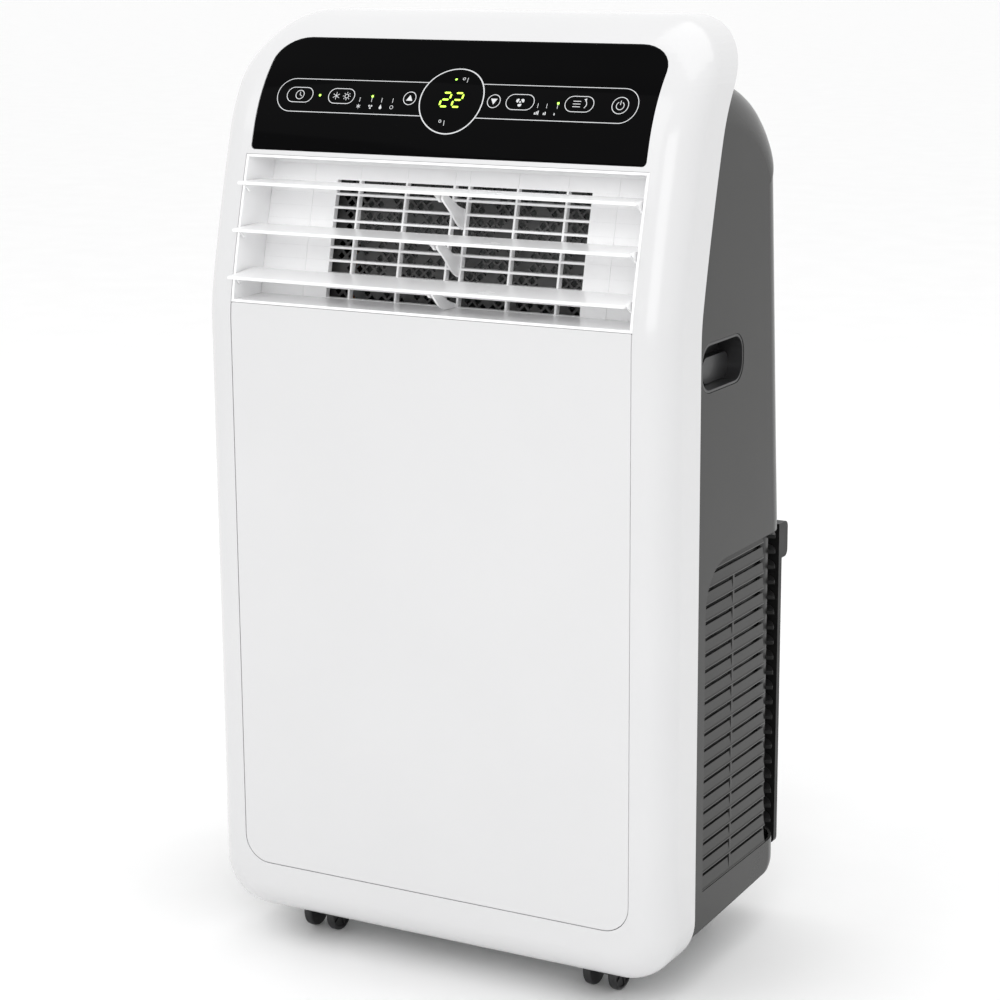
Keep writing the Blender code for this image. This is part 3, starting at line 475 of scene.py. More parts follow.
def front_shell():
    outline = rounded(-HALF_WIDTH, HALF_WIDTH, BOTTOM, TOP, CORNER_LOW, CORNER_HIGH, 14)
    bm = prism(outline, "y", FRONT, FRONT + SHELL_DEPTH)
    front = [e for e in bm.edges if all(abs(v.co.y - FRONT) < 1e-6 for v in e.verts)]
    bmesh.ops.bevel(bm, geom=front, offset=EDGE_ROUND, segments=10, profile=0.5, affect="EDGES")
    back = [f for f in bm.faces if all(abs(v.co.y - FRONT - SHELL_DEPTH) < 1e-6 for v in f.verts)]
    bmesh.ops.delete(bm, geom=back, context="FACES_ONLY")
    shell = new_object("front_shell_skin", bm, WHITE)
    wall = shell.modifiers.new("Wall", "SOLIDIFY")
    wall.thickness = SHELL_WALL
    wall.offset = -1
    apply_modifiers(shell)
    near, far = FRONT - 0.02, FRONT + SHELL_DEPTH - 0.006
    panel = rounded(-PANEL_HALF, PANEL_HALF, PANEL_BOTTOM, MOUTH_TOP, PANEL_CORNER, 0.0005)
    fascia = rounded(-FASCIA_HALF, FASCIA_HALF, FASCIA_BOTTOM, FASCIA_TOP, 0.004, FASCIA_CORNER[0],
                     high_b=FASCIA_CORNER[1])
    arches = [cylinder((side * CASTER_X, FRONT + CASTER_FRONT, BOTTOM), ARCH_R, 0.03) for side in (-1, 1)]
    boolean(shell, [prism(panel, "y", near, far), prism(fascia, "y", near, far), *arches])
    soften(shell, RIM, 3, 50.0)
    follow_front(shell)
    finish_piece(shell, "cabinet", ["front_shell"])


def front_panel():
    half = PANEL_HALF - SEAM
    outline = rounded(-half, half, PANEL_BOTTOM + SEAM, PANEL_TOP - 0.0003, PANEL_CORNER - SEAM, 0.0015)
    panel = new_object("front_panel_skin", prism(outline, "y", FRONT, FRONT + 0.004), WHITE)
    soften(panel, 0.0008, 3)
    follow_front(panel)
    finish_piece(panel, "cabinet", ["front_panel"])


def control_fascia():
    gap = 0.0004
    half = FASCIA_HALF - gap
    outline = rounded(-half, half, FASCIA_BOTTOM + gap, FASCIA_TOP - gap, 0.0036,
                      FASCIA_CORNER[0] - gap, 14, FASCIA_CORNER[1] - gap)
    bm = prism(outline, "y", FRONT + GLASS_INSET, FRONT + 0.003)
    fascia = new_object("control_fascia_glass", bm, PIANO)
    soften(fascia, 0.0006, 3)
    follow_front(fascia)
    finish_piece(fascia, "cabinet", ["control_fascia"])


# ---- marks on the fascia ------------------------------------------------------------------------
MARKS_Z = 0.7515                         # height of the row of marks
MARK_THICK = 0.00012


def on_fascia(x, up, lift):
    """Point on the fascia: x, and up along its curved surface from the row of marks."""
    target = lean_at(MARKS_Z)[1] + up
    low, high = LEAN_START, TOP
    for _ in range(40):
        middle = (low + high) / 2
        if lean_at(middle)[1] < target:
            low = middle
        else:
            high = middle
    return Vector((x, FRONT + GLASS_INSET + front_lean(low) - lift, low))


class Marks:
    """Thin raised marks drawn flat, in (x, up) metres, and laid on the fascia."""

    def __init__(self):
        self.bm = bmesh.new()

    def fill(self, outline):
        rings = [[self.bm.verts.new(on_fascia(x, up, lift)) for x, up in outline]
                 for lift in (MARK_THICK, -MARK_THICK)]
        self.bm.faces.new(rings[0])
        self.bm.faces.new(list(reversed(rings[1])))
        count = len(outline)
        for index in range(count):
            after = (index + 1) % count
            self.bm.faces.new((rings[0][index], rings[1][index], rings[1][after], rings[0][after]))

    def line(self, points, width, closed=False):
        """A ribbon along the points, mitred at each."""
        count = len(points)
        left, right = [], []
        for index in range(count):
            before = points[index - 1] if index or closed else points[index]
            after = points[(index + 1) % count] if index < count - 1 or closed else points[index]
            dx, dy = after[0] - before[0], after[1] - before[1]
            size = hypot(dx, dy) or 1.0
            nx, ny = -dy / size * width / 2, dx / size * width / 2
            left.append((points[index][0] + nx, points[index][1] + ny))
            right.append((points[index][0] - nx, points[index][1] - ny))
        last = count if closed else count - 1
        for index in range(last):
            after = (index + 1) % count
            self.fill([left[index], left[after], right[after], right[index]])

    def ring(self, x, up, radius, width, start=0.0, end=360.0, steps=40):
        points = arc((x, up), radius, start, end, steps)
        closed = abs(end - start) >= 360.0
        self.line(points[:-1] if closed else points, width, closed)

    def dot(self, x, up, radius):
        self.fill(arc((x, up), radius, 0, 360, 12)[:-1])

    def pill(self, x, up, half, radius, width):
        left, right = x - half + radius, x + half - radius
        points = arc((right, up), radius, -90, 90, 10) + arc((left, up), radius, 90, 270, 10)
        self.line(points, width, True)

    def made(self, name, material, slot):
        finish_piece(new_object(name, self.bm, material), "cabinet", sharp=None)


LINE = 0.0006                            # width of a printed line
RING_X, RING_R = 0.0009, 0.0295          # ring round the display
KEYS = {"timer": -0.1465, "mode": -0.1051, "down": -0.0387, "up": 0.0406, "speed": 0.0648,
        "swing": 0.1185, "power": 0.1548}
LAMPS = (-0.1265, -0.0747, 0.0996)
MODE_TICKS = (-0.0863, -0.0747, -0.0649, -0.0542)
SPEED_TICKS = (0.0818, 0.0899, 0.0996)


def key_marks():
    marks = Marks()
    marks.ring(RING_X, 0.0, RING_R, 0.0010, steps=72)
    half, radius = 0.1697, 0.0152
    opening = sqrt(RING_R ** 2 - radius ** 2)
    for side in (-1, 1):
        end = RING_X + side * (half - radius)
        inner = RING_X + side * (opening + 0.0006)
        cap = arc((end, 0.0), radius, 90, 90 - side * 180, 24)
        marks.line([(inner, radius), *cap, (inner, -radius)], LINE)
    for name in ("timer", "mode", "speed", "swing"):
        marks.pill(KEYS[name], 0.0, 0.0128, 0.0068, LINE)
    for name, turn in (("down", 1), ("up", -1)):
        x = KEYS[name]
        marks.ring(x, 0.0, 0.0058, LINE)
        marks.fill([(x - 0.0030, -0.0022 * turn), (x + 0.0030, -0.0022 * turn), (x, 0.0030 * turn)])
    marks.ring(KEYS["power"], 0.0, 0.0072, LINE)
    marks.ring(KEYS["power"], -0.0003, 0.0034, LINE, 120, 420, 20)
    marks.line([(KEYS["power"], 0.0004), (KEYS["power"], 0.0042)], LINE)
    return marks


def icon_marks(marks):
    """Small pictures on the keys and under the indicator ticks."""
    x = KEYS["timer"]
    marks.ring(x, 0.0, 0.0040, LINE)
    marks.line([(x, 0.0026), (x, 0.0), (x + 0.0020, -0.0012)], LINE)
    x = KEYS["mode"]
    flake(marks, x - 0.0052, 0.0, 0.0034)
    marks.ring(x + 0.0052, 0.0, 0.0018, LINE, steps=16)
    for turn in range(8):
        rays = [(x + 0.0052 + r * cos(turn * pi / 4), r * sin(turn * pi / 4)) for r in (0.0027, 0.0038)]
        marks.line(rays, LINE * 0.8)
    fan(marks, KEYS["speed"], 0.0, 0.0042)
    x = KEYS["swing"]
    for level in (-0.0024, 0.0, 0.0024):
        marks.line([(x - 0.0058, level), (x + 0.0010, level)], LINE)
    marks.ring(x + 0.0024, 0.0, 0.0040, LINE, -55, 55, 10)
    marks.fill([(x + 0.0034, 0.0042), (x + 0.0056, 0.0030), (x + 0.0058, 0.0052)])
    for tick in (*MODE_TICKS, *SPEED_TICKS):
        marks.line([(tick, -0.0006), (tick, -0.0046)], LINE * 0.7)
    flake(marks, MODE_TICKS[0], -0.0086, 0.0020)
    fan(marks, MODE_TICKS[1], -0.0086, 0.0021)
    x = MODE_TICKS[2]
    marks.fill([(x, -0.0064), (x + 0.0013, -0.0092), *arc((x, -0.0093), 0.0013, 0, -180, 6)[1:-1],
                (x - 0.0013, -0.0092)])
    marks.ring(MODE_TICKS[3], -0.0086, 0.0015, LINE * 0.7, steps=12)
    for index, tick in enumerate(SPEED_TICKS):
        for bar in range(3 - index):
            left = tick - 0.0020 + bar * 0.0015
            marks.fill([(left, -0.0104), (left + 0.0009, -0.0104), (left + 0.0009, -0.0086 + bar * 0.0008),
                        (left, -0.0086 + bar * 0.0008)])
    marks.ring(RING_X + 0.0062, 0.0198, 0.0011, LINE * 0.8, steps=12)
    marks.ring(RING_X - 0.0062, -0.0190, 0.0011, LINE * 0.8, steps=12)
    for x, up in ((RING_X + 0.0098, 0.0186), (RING_X - 0.0022, -0.0204)):
        marks.line([(x, up - 0.0022), (x, up + 0.0022)], LINE * 0.8)
    return marks


def flake(marks, x, up, radius):
    for turn in range(3):
        c, s = radius * cos(turn * pi / 3 + pi / 6), radius * sin(turn * pi / 3 + pi / 6)
        marks.line([(x - c, up - s), (x + c, up + s)], LINE * 0.8)


def fan(marks, x, up, radius):
    for turn in range(3):
        angle = turn * 120.0 + 30.0
        tip = (x + radius * 0.55 * cos(radians(angle)), up + radius * 0.55 * sin(radians(angle)))
        marks.fill(arc(tip, radius * 0.42, angle - 100, angle + 120, 7))
    marks.dot(x, up, radius * 0.2)


SEGMENTS = {"a": (0, 1, 0), "g": (0, 0, 0), "d": (0, -1, 0),
            "f": (-0.5, 0.5, 1), "b": (0.5, 0.5, 1), "e": (-0.5, -0.5, 1), "c": (0.5, -0.5, 1)}


def display():
    """Two seven-segment digits and the small lamps."""
    digits = Marks()
    width, half_height, thick, slant = 0.0078, 0.0062, 0.0016, 0.10
    for left in (-0.0056, 0.0058):
        for name in "abged":
            along, level, upright = SEGMENTS[name]
            cx, cy = along * width, level * half_height
            reach = (half_height / 2 if upright else width / 2) - 0.0008
            edge = thick / 2
            inner = reach - edge
            shape = [(-reach, 0), (-inner, edge), (inner, edge), (reach, 0), (inner, -edge),
                     (-inner, -edge)]
            if upright:
                shape = [(b, a) for a, b in reversed(shape)]
            digits.fill([(RING_X + left + cx + a + (cy + b) * slant, cy + b) for a, b in shape])
    digits.made("display_digits", DIGITS, "piano_black")
    lamps = Marks()
    for x in LAMPS:
        lamps.dot(x, 0.0006 if -0.12 < x < 0.09 else 0.0, 0.0011)
    lamps.dot(RING_X - 0.0010, 0.0190, 0.0010)
    lamps.made("indicator_lamps", LAMP, "piano_black")


# ---- air outlet -----------------------------------------------------------------------------------
RIB_X = (0.007, 0.053, 0.099)            # upright ribs on each side of the middle
LINE_X = 0.145                           # raised line in the solid part at each end
WINDOW_HALF, WINDOW_TOP = 0.1215, 0.6792
RIB_Z = [0.590 + 0.01105 * index for index in range(8)]
RIB = 0.0010                             # half a rib's thickness


def louvre_axis(index):
    """Middle of a louvre's hinge line, counted from the lowest."""
    z = LOUVRE_LOW_AXIS + LOUVRE_PITCH * index
    return Vector((0.0, FRONT + front_lean(z) + LOUVRE_INSET, z))


def outlet_duct():
    half, wall = PANEL_HALF - 0.0003, 0.0022
    bm = box((-half, FRONT + 0.0006, PANEL_TOP), (half, FRONT + MOUTH_DEPTH - 0.0003, MOUTH_TOP - 0.0003))
    duct = new_object("outlet_duct_skin", bm, OUTLET_PAINTED_LIGHT_WHITE)
    low, high = PANEL_TOP + wall, MOUTH_TOP - 0.0003 - wall
    cove = 0.015
    top = [(FRONT - 0.01, high), (FRONT + MOUTH_DEPTH - cove, high)]
    top += arc((FRONT + MOUTH_DEPTH - cove, high - cove * 0.7), cove, 80, 15, 6, cove * 0.7)
    beyond = FRONT + MOUTH_DEPTH + 0.01
    hollow = [(FRONT - 0.01, low), (beyond, low), (beyond, high - cove * 0.6), *reversed(top)]
    boolean(duct, [prism(hollow, "x", -half + wall, half - wall)])
    soften(duct, 0.0008, 2, 60.0)
    follow_front(duct)
    holes = [cylinder(louvre_axis(index), 0.0026, 0.44, "x", 24) for index in range(3)]
    boolean(duct, holes)
    finish_piece(duct, "cabinet", ["outlet_duct"])


def outlet_grille():
    y = FRONT + MOUTH_DEPTH
    low, high = PANEL_TOP + 0.0003, MOUTH_TOP - 0.0006
    bm = box((-PANEL_HALF + 0.0004, y, low), (PANEL_HALF - 0.0004, y + 0.006, high))
    plate = new_object("outlet_grille_skin", bm, OUTLET_PAINTED_LIGHT_WHITE)
    columns = [-WINDOW_HALF - RIB, *(-x for x in reversed(RIB_X)), *RIB_X, WINDOW_HALF + RIB]
    rows = [PANEL_TOP + 0.0015, *RIB_Z, WINDOW_TOP + RIB]
    cells = bmesh.new()
    for left, right in zip(columns, columns[1:]):
        for under, over in zip(rows, rows[1:]):
            box((left + RIB, y - 0.01, under + RIB), (right - RIB, y + 0.02, over - RIB), cells)
    boolean(plate, [cells])
    soften(plate, 0.00035, 2, 60.0)
    follow_front(plate)
    finish_piece(plate, "cabinet", ["outlet_grille"])
    lines = bmesh.new()
    for side in (-1, 1):
        for x in (*RIB_X, LINE_X):
            bottom = low if x == LINE_X else WINDOW_TOP + 0.0015
            box((side * x - 0.0005, y - 0.0006, bottom), (side * x + 0.0005, y + 0.001, high), lines)
        for z in (*RIB_Z, WINDOW_TOP):
            ends = sorted((side * (WINDOW_HALF + 0.0015), side * (PANEL_HALF - 0.003)))
            box((ends[0], y - 0.0003, z - 0.0003), (ends[1], y + 0.001, z + 0.0003), lines)
    raised = new_object("outlet_grille_lines", lines, OUTLET_PAINTED_LIGHT_WHITE)
    follow_front(raised)
    finish_piece(raised, "cabinet")


def louvre_supports():
    """Curved arms that steady the louvres in the middle."""
    for index, place in enumerate(("lower", "middle", "upper")):
        axis = louvre_axis(index)
        y, z = axis.y, axis.z
        root_low = max(z - 0.030, PANEL_TOP + 0.0025)
        deep = FRONT + MOUTH_DEPTH - 0.0003
        root_high = max(z - 0.013, root_low + 0.003)
        root = [(deep + front_lean(root_low), root_low), (deep + front_lean(root_high), root_high)]
        over = smooth_line([root[1], (y + 0.021, z - 0.0085), (y + 0.008, z - 0.0005),
                            (y + 0.001, z + 0.0034)], 4)
        nose = arc((y, z), 0.0035, 100, 230, 6)
        under = smooth_line([(y - 0.0005, z - 0.0045), (y + 0.009, z - 0.0125),
                             (y + 0.020, max(z - 0.0235, root_low + 0.0004)), root[0]], 4)
        bm = prism([root[0], *over, *nose, *under[:-1]], "x", ARM_X, ARM_X + 0.0022)
        arm = new_object(f"louvre_support_{place}_arm", bm, OUTLET_PAINTED_LIGHT_WHITE)
        soften(arm, 0.0003, 2, 50.0)
        finish_piece(arm, "cabinet", [f"louvre_support_{place}"])


def outlet_guard():
    """Pressed lattice behind the grille: strips that cross at 45 degrees, closed in patches."""
    y = FRONT + 0.056
    half, low, high = 0.126, 0.5755, 0.687
    plate = new_object("outlet_guard_skin", box((-half, y, low), (half, y + 0.0016, high)), MESH)
    holes = bmesh.new()
    pitch, size = 0.0098, 0.0034
    rows = int((high - low) / pitch * 2)
    for row in range(1, rows):
        for column in range(-13, 14):
            x = (column + (0.5 if row % 2 else 0.0)) * pitch
            z = low + row * pitch / 2
            closed = (column + 2 * (row // 4)) % 5 == 0 or (column * 3 + row) % 11 == 0
            if abs(x) < half - 0.006 and z < high - 0.005 and not closed:
                cylinder((x, y + 0.0008, z), size, 0.01, "y", 4, holes)
    boolean(plate, [holes])
    follow_front(plate)
    finish_piece(plate, "cabinet", ["outlet_guard"])


def louvre(index, name):
    """Blade with a beaded front edge, end ears, a middle lug, pins and a crank."""
    axis = louvre_axis(index)
    top, under = 0.0058, 0.0036
    section = [(-LOUVRE_FRONT + 0.0034, top), (LOUVRE_REAR - 0.0006, top), (LOUVRE_REAR, top - 0.0006),
               (LOUVRE_REAR, under + 0.0010), (LOUVRE_REAR - 0.0006, under + 0.0006),
               (-LOUVRE_FRONT + 0.0050, under + 0.0004), (-LOUVRE_FRONT + 0.0036, under - 0.0004),
               (-LOUVRE_FRONT + 0.0010, under - 0.0004)]
    section += arc((-LOUVRE_FRONT + 0.0014, (top + under) / 2 - 0.0002), 0.0013, 240, 120, 5)
    section += [(-LOUVRE_FRONT + 0.0012, top)]
    bm = prism(section, "x", -LOUVRE_HALF, LOUVRE_HALF)
    ear = [(-0.0125, under + 0.0006), *arc((0.0, 0.0), 0.0042, 205, 335, 8), (0.0145, under + 0.0006)]
    ends = (-LOUVRE_HALF, ARM_X - 0.0030, LOUVRE_HALF - 0.0018)
    blade = new_object(f"{name}_blade", bm, OUTLET_PAINTED_LIGHT_WHITE)
    lugs = [prism(ear, "x", left, left + 0.0018) for left in ends]
    pins = [cylinder((LOUVRE_HALF + 0.0008, 0, 0), 0.0021, 0.004, "x", 20),
            cylinder((-LOUVRE_HALF - 0.0050, 0, 0), 0.0021, 0.013, "x", 20)]
    tilt = LOUVRE_TILTS[index]
    angle = radians(CRANK_ANGLE - tilt)
    crank = box((-0.1985, 0.0, -0.0018), (-0.1965, CRANK + 0.0018, 0.0018))
    bmesh.ops.rotate(crank, verts=crank.verts, cent=(0, 0, 0), matrix=Matrix.Rotation(angle, 3, "X"))
    stud = cylinder((-0.2005, CRANK * cos(angle), CRANK * sin(angle)), 0.0014, 0.006, "x", 16)
    boolean(blade, [*lugs, *pins, crank, stud], "UNION")
    soften(blade, 0.00025, 2, 50.0)
    blade.matrix_world = Matrix.Translation(axis) @ Matrix.Rotation(radians(tilt), 4, "X")
    bpy.context.view_layer.update()
    finish_piece(blade, name, [name])


# ---- grey housing -----------------------------------------------------------------------------------
def housing_outline(inset):
    """Side outline (depth, height) of the housing, drawn in by an inset at its rounded edges."""
    rear = REAR - inset
    bottom = PAN_Z + 0.05 * inset
    lean_top = (rear_face(REAR_TOP) - inset, REAR_TOP - 0.4 * inset)
    crown = [(0.255, 0.716), (0.238, 0.737), (0.213, 0.754), (0.176, 0.765)]
    tucked = 0.036
    points = smooth_line([(tucked, bottom), (0.110, bottom + 0.0005), (rear - 0.024, bottom + 0.0045)], 3)
    points += arc((rear - 0.012, bottom + 0.0170), 0.012, -85, 0, 9)
    points += [(rear, REAR_KINK - 0.15), (rear, REAR_KINK)]
    points += [(rear_face(z) - inset, z - 0.4 * inset) for z in (0.45, 0.55, 0.62)]
    top = 0.771 - 0.9 * inset
    upper = [(depth - 0.8 * inset, height - 0.9 * inset) for depth, height in crown]
    points += smooth_line([lean_top, *upper, (tucked + front_lean(top), top)], 5)
    for step in range(1, HOUSING_FRONT_STEPS + 1):
        z = top + (LEAN_START - top) * step / HOUSING_FRONT_STEPS
        points.append((tucked + front_lean(z), z))
    return points


def corner_x(angle):
    """Half width and inset of the housing at an angle round its rear corner, in radians."""
    return HOUSING_HALF - HOUSING_ROUND * (1 - cos(angle)), HOUSING_ROUND * (1 - sin(angle))


def rear_housing():
    steps = 14
    half = [corner_x(pi / 2 * step / steps) for step in range(steps + 1)]
    sections = [(-x, inset) for x, inset in half] + [(x, inset) for x, inset in reversed(half)]
    bm = bmesh.new()
    rings = [[bm.verts.new((x, FRONT + depth, height)) for depth, height in housing_outline(inset)]
             for x, inset in sections]
    count = len(rings[0])
    for ring, following in zip(rings, rings[1:]):
        for index in range(count - HOUSING_FRONT_STEPS - 1):
            bm.faces.new((ring[index], ring[index + 1], following[index + 1], following[index]))
    bm.faces.new(rings[0])
    bm.faces.new(rings[-1])
    housing = new_object("rear_housing_skin", bm, GREY)
    wall = housing.modifiers.new("Wall", "SOLIDIFY")
    wall.thickness = HOUSING_WALL
    wall.offset = -1
    apply_modifiers(housing)
    tools = []
    for side in (-1, 1):
        tools.append(prism(slat_window(), "x", side * 0.165, side * 0.23))
        tools.append(prism(grip_outline(0.0), "x", side * 0.195, side * 0.23))
    width, low, high = REAR_WINDOW
    tools.append(box((-width, FRONT + 0.255, low), (width, FRONT + 0.30, high)))
    width, low, high = FILTER_WINDOW
    tools.append(box((-width, FRONT + 0.235, low), (width, FRONT + 0.30, high)))
    tools.append(cylinder((0, FRONT + 0.28, EXHAUST_Z), EXHAUST_R + 0.0036, 0.06, "y", 64))
    for x in (DRAIN_X, GLAND_X):
        tools.append(cylinder((x, FRONT + 0.27, DRAIN_Z), 0.0078, 0.04, "y", 24))
    boolean(housing, tools)
    soften(housing, 0.0005, 2, 55.0)
    finish_piece(housing, "cabinet", ["rear_housing"])


def housing_flange():
    """Wall inside the white shell that closes the cabinet round the housing's front edge."""
    inset = SHELL_WALL + 0.0006
    half = HALF_WIDTH - inset
    outer = rounded(-half, half, LEAN_START, TOP - inset, 0.002, CORNER_HIGH - inset, 14)
    wall = new_object("rear_housing_flange", prism(outer, "y", FRONT + 0.048, FRONT + 0.0505), GREY)
    hole = rounded(-0.19, 0.19, 0.50, 0.742, 0.010, 0.030, 8)
    boolean(wall, [prism(hole, "y", FRONT + 0.03, FRONT + 0.07)])
    follow_front(wall)
    finish_piece(wall, "cabinet")


def slat_window():
    """Side outline of the slatted recess, open through the rear corner."""
    left, right = FRONT + SLAT_FRONT, FRONT + REAR - 0.006
    outline = [(left, SLAT_LOW), (right, SLAT_LOW), (right, SLAT_HIGH)]
    return outline + arc((left + SLAT_CORNER, SLAT_HIGH - SLAT_CORNER), SLAT_CORNER, 90, 180, 10)


def slat_start(z):
    """Depth where a slat at a height begins, along the recess's rounded corner."""
    above = max(0.0, z - (SLAT_HIGH - SLAT_CORNER))
    return SLAT_FRONT + SLAT_CORNER - sqrt(max(0.0, SLAT_CORNER ** 2 - above ** 2))


def slat_path(start, tip):
    """Points (x, depth, outward x, outward y) along the side, and inwards at the pointed end."""
    facet, turn = 0.0105, 36.0
    path = [(HOUSING_HALF, start, 1.0, 0.0), (HOUSING_HALF, tip - facet, 1.0, 0.0)]
    for share in (0.12, 0.56, 1.0):
        angle = radians(turn * min(1.0, 0.5 + share))
        x, depth = HOUSING_HALF - facet * share * 0.55, tip - facet * (1 - share)
        path.append((x, depth, cos(angle), sin(angle)))
    return path


def slats():
    """Shingle slats: each leans out towards its lower edge and wraps the corner to a point."""
    for side, hand in ((-1, "left"), (1, "right")):
        bm = bmesh.new()
        for index in range(-1, SLOT_COUNT):
            high = min(SLAT_HIGH - 0.0001, SLOT_TOP - SLOT_PITCH * index - 0.0020)
            low = SLOT_TOP - SLOT_PITCH * (index + 1) + 0.0020
            if index == SLOT_COUNT - 1:
                low = SLAT_LOW + 0.0003
            slat(bm, side, low, high)
        rib = sorted((side * (HOUSING_HALF - 0.0045), side * (HOUSING_HALF - 0.0010)))
        box((rib[0], FRONT + 0.1588, SLAT_LOW), (rib[1], FRONT + 0.1622, SLOT_TOP - 0.010), bm)
        slat_shade_plate(side, hand)
        piece = new_object(f"side_slats_{hand}", bm, GREY)
        soften(piece, 0.0003, 2, 50.0)
        finish_piece(piece, "cabinet", [f"side_grille_{hand}"])


def slat_shade_plate(side, hand):
    """Black plate behind the slats: painted shade, so that the slots between them read dark."""
    ends = sorted((side * 0.1975, side * 0.1990))
    bm = box((ends[0], FRONT + 0.096, SLAT_LOW - 0.004), (ends[1], FRONT + 0.249, SLAT_HIGH + 0.004))
    shade_plate = new_object(f"side_slats_{hand}_liner", bm, BLACK)
    soften(shade_plate, 0.0004, 2)
    finish_piece(shade_plate, "cabinet")


def slat(bm, side, low, high):
    middle = (low + high) / 2
    share = (SLAT_HIGH - middle) / (SLAT_HIGH - SLAT_LOW)
    path = slat_path(SLAT_FRONT, 0.2335 + 0.0140 * share)
    # (how far in from the housing's side, height) round the slat's section
    section = [(0.0018, high), (0.0010, low + 0.0018), (0.0002, low + 0.0010), (0.0004, low),
               (0.0024, low), (0.0040, high)]
    rings = []
    for place, (x, depth, ox, oy) in enumerate(path):
        left = len(path) - 1 - place
        taper = (0.16, 0.58, 1.0, 1.0, 1.0)[left]
        centre = low + (high - low) * 0.62
        ring = []
        for inward, z in section:
            height = centre + (z - centre) * taper
            drop = inward + (1.0 - taper) * 0.0012
            if place == 0:
                depth = slat_start(z) + 0.0002
            ring.append(bm.verts.new((side * (x - ox * drop), FRONT + depth - oy * drop, height)))
        rings.append(ring)
    count = len(section)
    for ring, following in zip(rings, rings[1:]):
        for index in range(count):
            after = (index + 1) % count
            bm.faces.new((ring[index], ring[after], following[after], following[index]))
    bm.faces.new(rings[0])
    bm.faces.new(list(reversed(rings[-1])))


def grip_outline(margin):
    return rounded(FRONT + GRIP_FRONT + margin, FRONT + GRIP_REAR - margin, GRIP_LOW + margin,
                   GRIP_HIGH - margin, GRIP_ROUND - margin, GRIP_ROUND - margin, 10)


def grip_cups():
    for side, hand in ((-1, "left"), (1, "right")):
        bm = prism(grip_outline(0.0004), "x", side * 0.1865, side * (HOUSING_HALF - 0.0005))
        rim = new_object(f"grip_cup_{hand}_skin", bm, CUP)
        boolean(rim, [prism(grip_outline(0.0024), "x", side * 0.1885, side * 0.23)])
        boss = rounded(FRONT + 0.118, FRONT + 0.170, 0.519, 0.541, 0.009, 0.009, 8)
        boolean(rim, [prism(boss, "x", side * 0.1875, side * 0.1975)], "UNION")
        soften(rim, 0.0009, 3, 50.0)
        finish_piece(rim, "cabinet", [f"grip_cup_{hand}"])


# ---- rear -------------------------------------------------------------------------------------------
def cell_grid(half, border, bottom, top, counts, ribs, near, far):
    """Boxes that cut a grid of cells into a plate: counts and half rib widths are (across, up)."""
    cells = bmesh.new()
    width, height = 2 * (half - border) / counts[0], (top - bottom) / counts[1]
    for column in range(counts[0]):
        for row in range(counts[1]):
            x, z = -half + border + column * width, bottom + row * height
            right, over = x + width - ribs[0], z + height - ribs[1]
            box((x + ribs[0], near, z + ribs[1]), (right, far, over), cells)
    return cells


def rear_grille():
    low, high, half = 0.064, 0.367, 0.200
    y = FRONT + REAR + 0.0003
    plate = new_object("rear_grille_skin",
                       prism(rounded(-half, half, low, high, 0.006, 0.006, 6), "y", y, y + 0.0067), BLACK)
    ears = []
    for side in (-1, 1):
        outline = rounded(0.334, 0.3665, y, FRONT + 0.303, 0.0005, 0.006, 6)
        flipped = [(b, a) for a, b in outline]
        ears.append(prism(flipped, "x", side * half, side * (half - 0.020)))
    boolean(plate, ears, "UNION")
    cells = cell_grid(half, 0.014, low + 0.013, high - 0.013, (6, 20), (0.0018, 0.0022), y - 0.01, y + 0.03)
    boolean(plate, [cells])
    soften(plate, 0.0005, 2, 50.0)
    finish_piece(plate, "cabinet", ["rear_grille"])


def corner_returns():
    """Black ribs and liner between the slats' ends and the rear grille's bar."""
    flat_end = REAR - HOUSING_ROUND
    for side, hand in ((-1, "left"), (1, "right")):
        bm = bmesh.new()
        centre_x = HOUSING_HALF - HOUSING_ROUND
        outer = arc((centre_x, flat_end), HOUSING_ROUND - 0.0075, -15, 88, 14)
        inner = arc((centre_x, flat_end), HOUSING_ROUND - 0.0095, 88, -15, 14)
        shade_plate = [(side * x, FRONT + depth) for x, depth in outer + inner]
        prism(shade_plate, "z", SLAT_LOW + 0.0005, SLAT_HIGH - 0.0005, bm)
        for index in range(SLOT_COUNT + 1):
            z = SLOT_TOP - SLOT_PITCH * index
            if z > SLAT_HIGH - 0.004 or z < SLAT_LOW + 0.003:
                continue
            outer = arc((centre_x, flat_end), HOUSING_ROUND - 0.0012, 18, 84, 12)
            inner = arc((centre_x, flat_end), HOUSING_ROUND - 0.0080, 84, 18, 12)
            rib = [(side * x, FRONT + depth) for x, depth in outer + inner]
            prism(rib, "z", z - 0.0016, z + 0.0016, bm)
        piece = new_object(f"rear_grille_return_{hand}", bm, BLACK)
        finish_piece(piece, "cabinet")


def filter_unit():
    half, low, high = FILTER_WINDOW
    half, low, high = half - 0.0008, low + 0.0008, high - 0.0008
    y = FRONT + REAR
    bm = prism(rounded(-half, half, low, high, 0.006, 0.006, 8), "y", y - 0.0075, y - 0.0003)
    plate = new_object("filter_frame_skin", bm, BLACK)
    cells = cell_grid(half, 0.008, low + 0.009, high - 0.017, (9, 12), (0.001, 0.001), y - 0.08, y + 0.02)
    latch = rounded(-0.022, 0.022, high - 0.0115, high - 0.0035, 0.003, 0.003, 6)
    boolean(plate, [cells, prism(latch, "y", y - 0.0030, y + 0.01)])
    soften(plate, 0.0004, 2, 50.0)
    follow_rear(plate)
    finish_piece(plate, "filter", ["filter_frame"])


